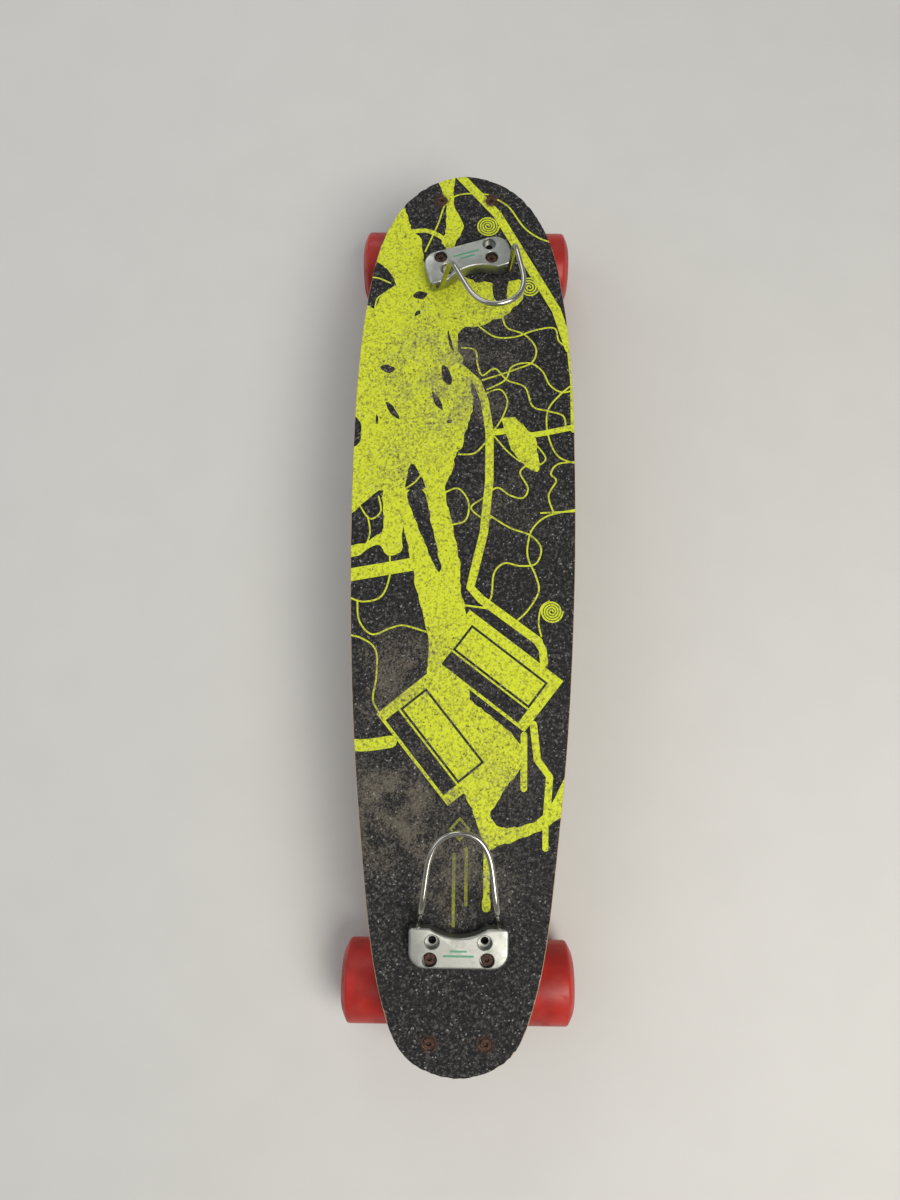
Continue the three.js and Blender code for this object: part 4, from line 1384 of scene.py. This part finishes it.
# ---------------------------------------------------------------- foot hooks
@dataclass
class FootHook:
    """An aluminium plate over a truck's inner bolts, and the wire that holds a foot."""

    end: str
    half_width: float = 35.9 * MM
    back: float = -6.4 * MM
    front: float = 22.2 * MM
    thickness: float = 12.0 * MM
    seat: float = 6.2 * MM
    hollow_half: float = 21.0 * MM
    hollow_depth: float = 6.6 * MM
    ear: float = 29.3 * MM
    bolt_hole: float = 2.9 * MM
    recess: float = 5.1 * MM
    holes: tuple[tuple[float, float], ...] = ((20.65, 0.0), (18.9, 12.5))
    mark_point: tuple[float, float, float] = (0.0, 5.0 * MM, 12.0 * MM)
    wire_swell: float = 0.16 * MM  # makes up for what rounding takes off the faceted wire

    def place(self) -> Matrix:
        """The plate's own frame, from its mount and the way it was turned on its bolts."""
        mount = next(m for m in frame["record"]["mounts"] if m["name"] == f"{self.end}_plate_top")
        normal = Vector(mount["axis"]).normalized()
        forwards = Vector((0.0, -1.0 if self.end == "front" else 1.0, 0.0))
        if self.end == "front":
            (outer, _), (inner, rise) = self.holes
            forwards.rotate(Matrix.Rotation(math.atan2(rise, outer + inner), 3, "Z"))
        forwards = (forwards - normal * forwards.dot(normal)).normalized()
        sideways = forwards.cross(normal)
        turn = Matrix((sideways, forwards, normal)).transposed().to_4x4()
        origin = Vector(mount["pos_m"]) - turn.to_3x3() @ Vector(self.mark_point)
        return Matrix.Translation(origin) @ turn

    def outline(self) -> list[tuple[float, float]]:
        """The plate from above: big back corners, small front ones, and the hollow between the ears."""
        points: list[tuple[float, float]] = []

        def corner(x: float, y: float, radius: float, start: float, steps: int) -> None:
            """Adds a quarter circle about x, y."""
            for step in range(steps + 1):
                angle = math.radians(start + 90 * step / steps)
                points.append((x + radius * math.cos(angle), y + radius * math.sin(angle)))

        big, small = 12.0 * MM, 3.0 * MM
        corner(-self.half_width + big, self.back + big, big, 180, 12)
        corner(self.half_width - big, self.back + big, big, 270, 12)
        corner(self.half_width - small, self.front - small, small, 0, 6)
        steps = 20
        for step in range(steps + 1):
            share = 1 - 2 * step / steps
            depth = self.hollow_depth * (1 - share * share)
            points.append((self.hollow_half * share, self.front - depth))
        corner(-self.half_width + small, self.front - small, small, 90, 6)
        return points

    def plate(self) -> Object:
        """The machined plate with its counterbored holes and wire sockets."""
        blank = prism(self.outline(), 0.0, self.thickness)
        rims = [edge for edge in blank.edges if abs(edge.verts[0].co.z - edge.verts[1].co.z) < 1e-7]
        bmesh.ops.bevel(
            blank, geom=rims, offset=1.7 * MM, segments=5, profile=0.5, affect="EDGES", material=-1
        )
        tools = []
        for hole_x, hole_y in self.holes:
            for side in (-1, 1):
                line = Line(Vector((side * hole_x * MM, hole_y * MM, 0.0)), UP)
                rim = self.thickness
                bore = (
                    (0.0, -MM),
                    (self.bolt_hole, -MM),
                    (self.bolt_hole, self.seat),
                    (self.recess, self.seat),
                    (self.recess, rim - 0.5 * MM),
                    (self.recess + 1.0 * MM, rim + 0.5 * MM),
                    (0.0, rim + 0.5 * MM),
                )
                tools.append(turned(bore, line, 48))
        for side in (-1, 1):
            line = Line(Vector((side * self.ear, 0.0, 6.0 * MM)), Vector((0.0, 1.0, 0.0)))
            socket = ((0.0, 11.5 * MM), (2.25 * MM, 11.5 * MM), (2.25 * MM, 30 * MM), (0.0, 30 * MM))
            tools.append(turned(socket, line, 28))
        mesh = carve(blank, tools)
        bmesh.ops.transform(mesh, matrix=self.place(), verts=mesh.verts)
        node = f"hook_plate_{self.end}"
        return add_piece(
            f"{node}_machined", mesh, PLATE_ALUMINIUM.material(), "board", [node], 30.0
        )

    def mark(self) -> Object:
        """Two plain green bars, printed between the bolts."""
        mesh = bmesh.new()
        for y, half in ((6.4 * MM, 6.0 * MM), (3.0 * MM, 11.0 * MM)):
            size = Matrix.LocRotScale(
                Vector((0.0, y, self.thickness)), None, Vector((2 * half, 1.5 * MM, 0.06 * MM))
            )
            bmesh.ops.create_cube(mesh, size=1.0, matrix=size)
        bmesh.ops.transform(mesh, matrix=self.place(), verts=mesh.verts)
        return add_piece(f"plate_mark_{self.end}", mesh, GREEN_INK.material(), "board")

    def wire(self) -> Object:
        """The bent wire: the CAD tube with its four-sided faces restored and made round."""
        node = f"wire_hook_{self.end}"
        mesh = copy_of(node)
        flat = math.radians(60)
        bmesh.ops.join_triangles(
            mesh, faces=mesh.faces, angle_face_threshold=flat, angle_shape_threshold=flat
        )
        piece = add_piece(f"{node}_bent", mesh, DRAWN_STEEL.material(), "board", [node], 180.0)
        swell = piece.modifiers.new("keep the wire's thickness", "DISPLACE")
        swell.mid_level = 0.0
        swell.strength = self.wire_swell
        rounder = piece.modifiers.new("round", "SUBSURF")
        rounder.levels = 2
        rounder.render_levels = 2
        return piece

    def build(self) -> None:
        """Makes the plate, its mark and the wire."""
        self.plate()
        self.mark()
        self.wire()


# ---------------------------------------------------------------- wheels
@dataclass
class Wheel:
    """A red urethane wheel: tyre, moulded core, two sealed bearings, washers and axle nut."""

    end: str
    side: str
    shoulder_across: float = 5.2 * MM
    shoulder_down: float = 12.0 * MM
    tread_edge: float = 1.6 * MM
    core_radius: float = 17.0 * MM
    core_half: float = 13.0 * MM
    bearing_radius: float = 11.0 * MM
    bearing_width: float = 7.0 * MM
    axle_radius: float = 4.0 * MM

    @property
    def tag(self) -> str:
        """The end and side, as the CAD names them."""
        return f"{self.end}_{self.side}"

    @property
    def outwards(self) -> float:
        """+1 on the right and -1 on the left."""
        return 1.0 if self.side == "right" else -1.0

    def line(self) -> Line:
        """The axle's line, with its zero at the wheel's middle."""
        return Line(middle(f"tyre_{self.tag}"), RIGHT)

    def tyre(self) -> Object:
        """The poured tyre: a recess round the core, domed shoulders and a narrow tread edge."""
        low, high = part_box(f"tyre_{self.tag}")
        half = (high.x - low.x) / 2
        radius = (high.z - low.z) / 2
        bore = self.core_radius + 0.1 * MM
        quarter: list[tuple[float, float]] = [
            (bore, self.core_half + 0.4 * MM),
            (bore + 1.2 * MM, self.core_half + 1.2 * MM),
            (bore + 1.8 * MM, half - 1.6 * MM),
            (bore + 2.1 * MM, half - 0.5 * MM),
            (bore + 2.6 * MM, half),
        ]
        steps = 12
        for step in range(steps):
            share = step / steps
            down = self.shoulder_down * (1 - share)
            quarter.append((radius - down, half - self.shoulder_across * share**1.5))
        edge = self.tread_edge
        quarter[-1] = (radius - 0.55 * edge, half - self.shoulder_across + 0.35 * edge)
        quarter.append((radius - 0.15 * edge, half - self.shoulder_across - 0.3 * edge))
        quarter.append((radius, half - self.shoulder_across - edge))
        mesh = turned(mirrored(quarter), self.line(), 96)
        node = f"tyre_{self.tag}"
        return add_piece(
            f"{node}_poured", mesh, RED_URETHANE.material(), f"wheel_{self.tag}", [node], 40.0
        )

    def core(self) -> Object:
        """The moulded core: an outer rim, a shallow dish and the bearing seat's lip."""
        seat = self.bearing_radius + 0.05 * MM
        half = self.core_half
        face = (
            (seat, 5.0 * MM),
            (seat, half - 0.4 * MM),
            (seat + 0.4 * MM, half),
            (seat + 1.6 * MM, half),
            (seat + 2.0 * MM, half - 0.6 * MM),
            (self.core_radius - 1.9 * MM, half - 1.6 * MM),
            (self.core_radius - 1.5 * MM, half - 0.2 * MM),
            (self.core_radius - 0.3 * MM, half + 0.3 * MM),
            (self.core_radius, half - 0.3 * MM),
        )
        mesh = turned(mirrored(face), self.line(), 64)
        node = f"core_{self.tag}"
        return add_piece(
            f"{node}_moulded", mesh, CORE_NYLON.material(), f"wheel_{self.tag}", [node], 40.0
        )

    def bearings(self) -> None:
        """The steel rings and spacer as one piece, and a seal in each bearing's face."""
        inner = self.axle_radius + 0.1 * MM
        race = 6.0 * MM
        land = 9.4 * MM
        near, far = 5.0 * MM, 5.0 * MM + self.bearing_width
        sink = 0.5 * MM
        half = (
            (inner, far - 0.3 * MM),
            (inner + 0.3 * MM, far),
            (race, far),
            (race + 0.1 * MM, far - sink),
            (land - 0.1 * MM, far - sink),
            (land, far),
            (self.bearing_radius - 0.4 * MM, far),
            (self.bearing_radius, far - 0.4 * MM),
            (self.bearing_radius, near),
            (5.2 * MM, near),
        )
        node = f"bearings_{self.tag}"
        body = f"wheel_{self.tag}"
        rings = turned(mirrored(half), self.line(), 48)
        add_piece(f"{node}_rings", rings, GROUND_STEEL.material(), body, [node], 30.0)
        for name, way in (("outer", self.outwards), ("inner", -self.outwards)):
            seal = (
                (race + 0.25 * MM, way * (far - sink - 0.1 * MM)),
                (land - 0.25 * MM, way * (far - sink - 0.1 * MM)),
                (land - 0.35 * MM, way * (far - 0.12 * MM)),
                (race + 0.9 * MM, way * (far - 0.22 * MM)),
                (race + 0.3 * MM, way * (far - 0.12 * MM)),
            )
            seal_mesh = turned(seal, self.line(), 48)
            add_piece(
                f"bearing_seal_{name}_{self.tag}", seal_mesh, SHIELD_RUBBER.material(), body
            )

    def hardware(self) -> None:
        """The two speed washers and the axle nut."""
        far = 5.0 * MM + self.bearing_width
        body = f"hanger_{self.end}"
        for name, way in (("outer", self.outwards), ("inner", -self.outwards)):
            ring = [
                (self.axle_radius + 0.1 * MM, far + 0.1 * MM),
                (5.7 * MM, far + 0.1 * MM),
                (5.7 * MM, far + 0.85 * MM),
                (self.axle_radius + 0.1 * MM, far + 0.85 * MM),
            ]
            mesh = turned(flipped(ring, way), self.line(), 40)
            add_piece(f"speed_washer_{name}_{self.tag}", mesh, ZINC_STEEL.material(), body)
        HexNut(
            f"axle_nut_{self.tag}", self.line(), 7.3 * MM, 4.15 * MM, body, "axle_nut", self.outwards
        ).build()

    def build(self) -> None:
        """Makes the whole wheel."""
        self.tyre()
        self.core()
        self.bearings()
        self.hardware()


# ---------------------------------------------------------------- trucks
@dataclass
class Truck:
    """One cast truck under the deck, with its kingpin stack and mounting hardware."""

    end: str
    voxel: float = 0.9 * MM

    @property
    def hanger_body(self) -> str:
        """The CAD body that steers."""
        return f"hanger_{self.end}"

    def kingpin_line(self) -> Line:
        """The kingpin's line from the ring's middle up to the board."""
        joint = next(j for j in frame["joints"] if j["name"] == f"steer_{self.end}")
        road, board = (centroid(f"bushing_{side}_side_{self.end}") for side in ("road", "board"))
        return Line(Vector(joint["pos_m"]), (board - road).normalized())

    def casting(self, node: str, body: str) -> Object:
        """A CAD node as a sand casting: its edges and inner corners rounded by the mould.

        Args:
            node: The CAD node.
            body: The body that it moves with.

        Returns:
            The casting.
        """
        piece = add_piece(f"{node}_cast", copy_of(node), CAST_ALUMINIUM.material(), body, [node], 180.0)
        mould = piece.modifiers.new("cast skin", "REMESH")
        mould.mode = "VOXEL"
        mould.voxel_size = self.voxel
        mould.use_smooth_shade = True
        rounding = piece.modifiers.new("rounded corners", "SMOOTH")
        rounding.factor = 0.5
        rounding.iterations = 3
        return piece

    def bushing(self, side: str, way: float) -> Object:
        """One bushing, between the ring that steers and the washer that stays.

        Args:
            side: The board side or the road side.
            way: +1 if it points up the kingpin, and -1 if down.

        Returns:
            The bushing.
        """
        node = f"bushing_{side}_side_{self.end}"
        line = self.kingpin_line()
        near, far = sorted(way * distance for distance in line.span(node))
        face = near + 5.0 * MM
        widest = 12.2 * MM
        tip = widest if side == "board" else 9.8 * MM
        bore = 5.05 * MM
        mid = (face + far) / 2
        profile = [
            (bore, near),
            (8.6 * MM, near),
            (8.6 * MM, face),
            (widest - 0.9 * MM, face),
            (widest, face + 0.9 * MM),
            ((widest + tip) / 2 + (0.45 * MM if side == "board" else 0.1 * MM), mid),
            (tip, far - 0.9 * MM),
            (tip - 0.9 * MM, far),
            (bore, far),
        ]
        mesh = turned(flipped(profile, way), line, 56)
        bmesh.ops.subdivide_edges(mesh, edges=[e for e in mesh.edges if e.calc_length() > 4 * MM], cuts=2)
        name = f"{node}_cast"
        piece = new_object(name, mesh, AMBER_URETHANE.material())
        shade(piece, 40.0)
        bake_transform(piece)
        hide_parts(node)
        LOG.info("%s: %d faces between %s and board", name, len(piece.data.polygons), self.hanger_body)
        return piece

    def cup_washer(self, side: str, way: float) -> Object:
        """A pressed cup washer at a bushing's end.

        Args:
            side: The board side or the road side.
            way: +1 if it points up the kingpin, and -1 if down.

        Returns:
            The washer.
        """
        node = f"cup_washer_{side}_side_{self.end}"
        line = self.kingpin_line()
        near, far = sorted(way * distance for distance in line.span(node))
        radius = 13.6 * MM if side == "board" else 12.1 * MM
        bore = 5.0 * MM
        profile = [
            (bore, far - 1.9 * MM),
            (radius - 1.6 * MM, far - 1.9 * MM),
            (radius - 1.2 * MM, near),
            (radius, near),
            (radius + 0.05 * MM, far - 1.1 * MM),
            (radius - 0.9 * MM, far - 0.1 * MM),
            (radius - 1.8 * MM, far),
            (bore, far),
        ]
        mesh = turned(flipped(profile, way), line, 56)
        return add_piece(f"{node}_pressed", mesh, ZINC_STEEL.material(), "board", [node], 40.0)

    def kingpin(self) -> Object:
        """The kingpin, threaded at its nut end."""
        node = f"kingpin_{self.end}"
        line = self.kingpin_line()
        low, high = line.span(node)
        radius = 4.7 * MM
        pitch = 1.2 * MM
        head = high - 5.5 * MM
        profile: list[tuple[float, float]] = [(0.0, low), (radius - 0.9 * MM, low)]
        turns = 22
        for index in range(turns):
            base = low + 0.4 * MM + index * pitch
            profile += [(radius - 0.45 * MM, base), (radius, base + pitch * 0.5)]
        profile += [(radius, low + 0.4 * MM + turns * pitch + 0.5 * MM), (radius, head), (8.0 * MM, head)]
        profile += [(8.0 * MM, high - 1.2 * MM), (6.8 * MM, high - 0.5 * MM), (0.0, high - 0.5 * MM)]
        mesh = turned(profile, line, 40)
        return add_piece(f"{node}_threaded", mesh, ZINC_STEEL.material(), "board", [node], 50.0)

    def axle(self) -> Object:
        """The axle, with threads past its nuts."""
        node = f"axle_{self.end}"
        low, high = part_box(node)
        line = Line(middle(node), RIGHT)
        half = (high.x - low.x) / 2
        radius = 3.95 * MM
        pitch = 1.0 * MM
        thread: list[tuple[float, float]] = [(0.0, half), (radius - 0.8 * MM, half)]
        for index in range(9):
            base = half - 0.5 * MM - index * pitch
            thread += [(radius - 0.4 * MM, base), (radius, base - pitch * 0.5)]
        mesh = turned(mirrored(thread), line, 40)
        return add_piece(
            f"{node}_turned", mesh, GROUND_STEEL.material(), self.hanger_body, [node], 50.0
        )

    def build(self) -> None:
        """Makes the truck's pieces."""
        self.casting(f"baseplate_{self.end}", "board")
        self.casting(f"hanger_{self.end}", self.hanger_body)
        for side, way in (("board", 1.0), ("road", -1.0)):
            self.bushing(side, way)
            self.cup_washer(side, way)
        self.kingpin()
        self.axle()
        down = Line(self.kingpin_line().origin, -self.kingpin_line().direction)
        HexNut(f"kingpin_nut_{self.end}", down, 8.2 * MM, 4.8 * MM, "board", "kingpin_nut").build()
        for row in ("inner", "outer"):
            for side in SIDES:
                tag = f"{row}_{side}_{self.end}"
                nut = f"lock_nut_{tag}"
                SocketBolt(f"bolt_{tag}", nut).build()
                line = line_between(f"bolt_{tag}", nut)
                HexNut(nut, line, 5.5 * MM, 2.45 * MM, "board", "lock_nut").build()
        for node in (f"riser_{self.end}", f"pivot_cup_{self.end}"):
            solid = frame["nodes"][node]
            solid.data.materials.clear()
            solid.data.materials.append(BLACK_PLASTIC.material())


# ---------------------------------------------------------------- studio
@dataclass(frozen=True)
class StudioFloor(Finish):
    """Matt painted board: pale, plain and faintly uneven."""

    colour: str = "#C9C8C4"
    mottle: str = "#C7C6C2"

    def paint(self, tree: NodeTree, shader: Node, place: NodeSocket) -> None:
        """A faint unevenness in the paint."""
        share = add(
            tree, "MapRange", EASED, {0: grains(tree, place, 60 * MM, 3.0), 1: 0.3, 2: 0.7}
        ).outputs[0]
        tree.links.new(
            add(tree, "Mix", COLOURS, {0: share, 6: linear(self.colour), 7: linear(self.mottle)}).outputs[2],
            shader.inputs["Base Color"],
        )


@dataclass(frozen=True)
class Studio:
    """A pale floor, soft lights, and a camera held over the board."""

    lens: float = 26.1
    height_over_deck: float = 0.6537
    back_from_middle: float = -0.1161
    left_of_middle: float = -0.0024
    tilt: tuple[float, float, float] = (9.130, 0.605, 0.682)

    def camera(self, deck_top: float) -> None:
        """The camera, almost straight above and a little towards the tail."""
        data = bpy.data.cameras.new("camera")
        data.sensor_width = 36.0
        data.lens = self.lens
        data.clip_start = 0.01
        holder = bpy.data.objects.new("camera", data)
        bpy.context.scene.collection.objects.link(holder)
        place = Matrix.Translation(
            (self.left_of_middle, self.back_from_middle, deck_top + self.height_over_deck)
        )
        turn = Matrix.Identity(4)
        for angle, axis in zip(self.tilt, "XYZ"):
            turn = turn @ Matrix.Rotation(math.radians(angle), 4, axis)
        holder.matrix_world = place @ turn
        bpy.context.scene.camera = holder

    def light(self, name: str, place: Vector, size: float, power: float, warmth: str) -> None:
        """A square soft light that faces the board.

        Args:
            name: The light's name.
            place: Where it hangs.
            size: The length of its side in metres.
            power: Its power in watts.
            warmth: Its colour as sRGB hex.
        """
        data = bpy.data.lights.new(name, "AREA")
        data.size = size
        data.energy = power
        data.color = linear(warmth)[:3]
        lamp = bpy.data.objects.new(name, data)
        bpy.context.scene.collection.objects.link(lamp)
        lamp.location = place
        lamp.rotation_euler = (-place).to_track_quat("-Z", "Y").to_euler()

    def build(self, deck_top: float) -> None:
        """Sets up the floor, the lights, the surroundings and the camera."""
        mesh = bmesh.new()
        bmesh.ops.create_grid(mesh, x_segments=2, y_segments=2, size=4.0)
        floor = new_object("floor", mesh, StudioFloor("matt_painted_board", roughness=0.6).material())
        self.light("key", Vector((0.9, -0.8, 1.9)), 1.2, 38.0, "#FFFAF2")
        self.light("fill", Vector((-1.5, 0.4, 1.6)), 1.6, 9.0, "#F2F6FF")
        self.light("back", Vector((-0.5, 1.9, 1.3)), 1.0, 7.0, "#FFFFFF")
        world = bpy.data.worlds.new("studio")
        world.use_nodes = True
        world.node_tree.nodes["Background"].inputs["Color"].default_value = linear("#E8EAEC")
        world.node_tree.nodes["Background"].inputs["Strength"].default_value = 0.4
        bpy.context.scene.world = world
        bpy.context.scene.view_settings.view_transform = "Standard"
        self.camera(deck_top)


def main() -> None:
    """Builds the studio and the board."""
    logging.basicConfig(level=logging.INFO, format="%(message)s")
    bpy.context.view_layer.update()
    deck = Deck()
    Studio().build(deck.sheet_top)
    deck.board()
    deck.sheet()
    for end in ENDS:
        Truck(end).build()
        FootHook(end).build()
        for side in SIDES:
            Wheel(end, side).build()


if __name__ == "__main__":
    main()
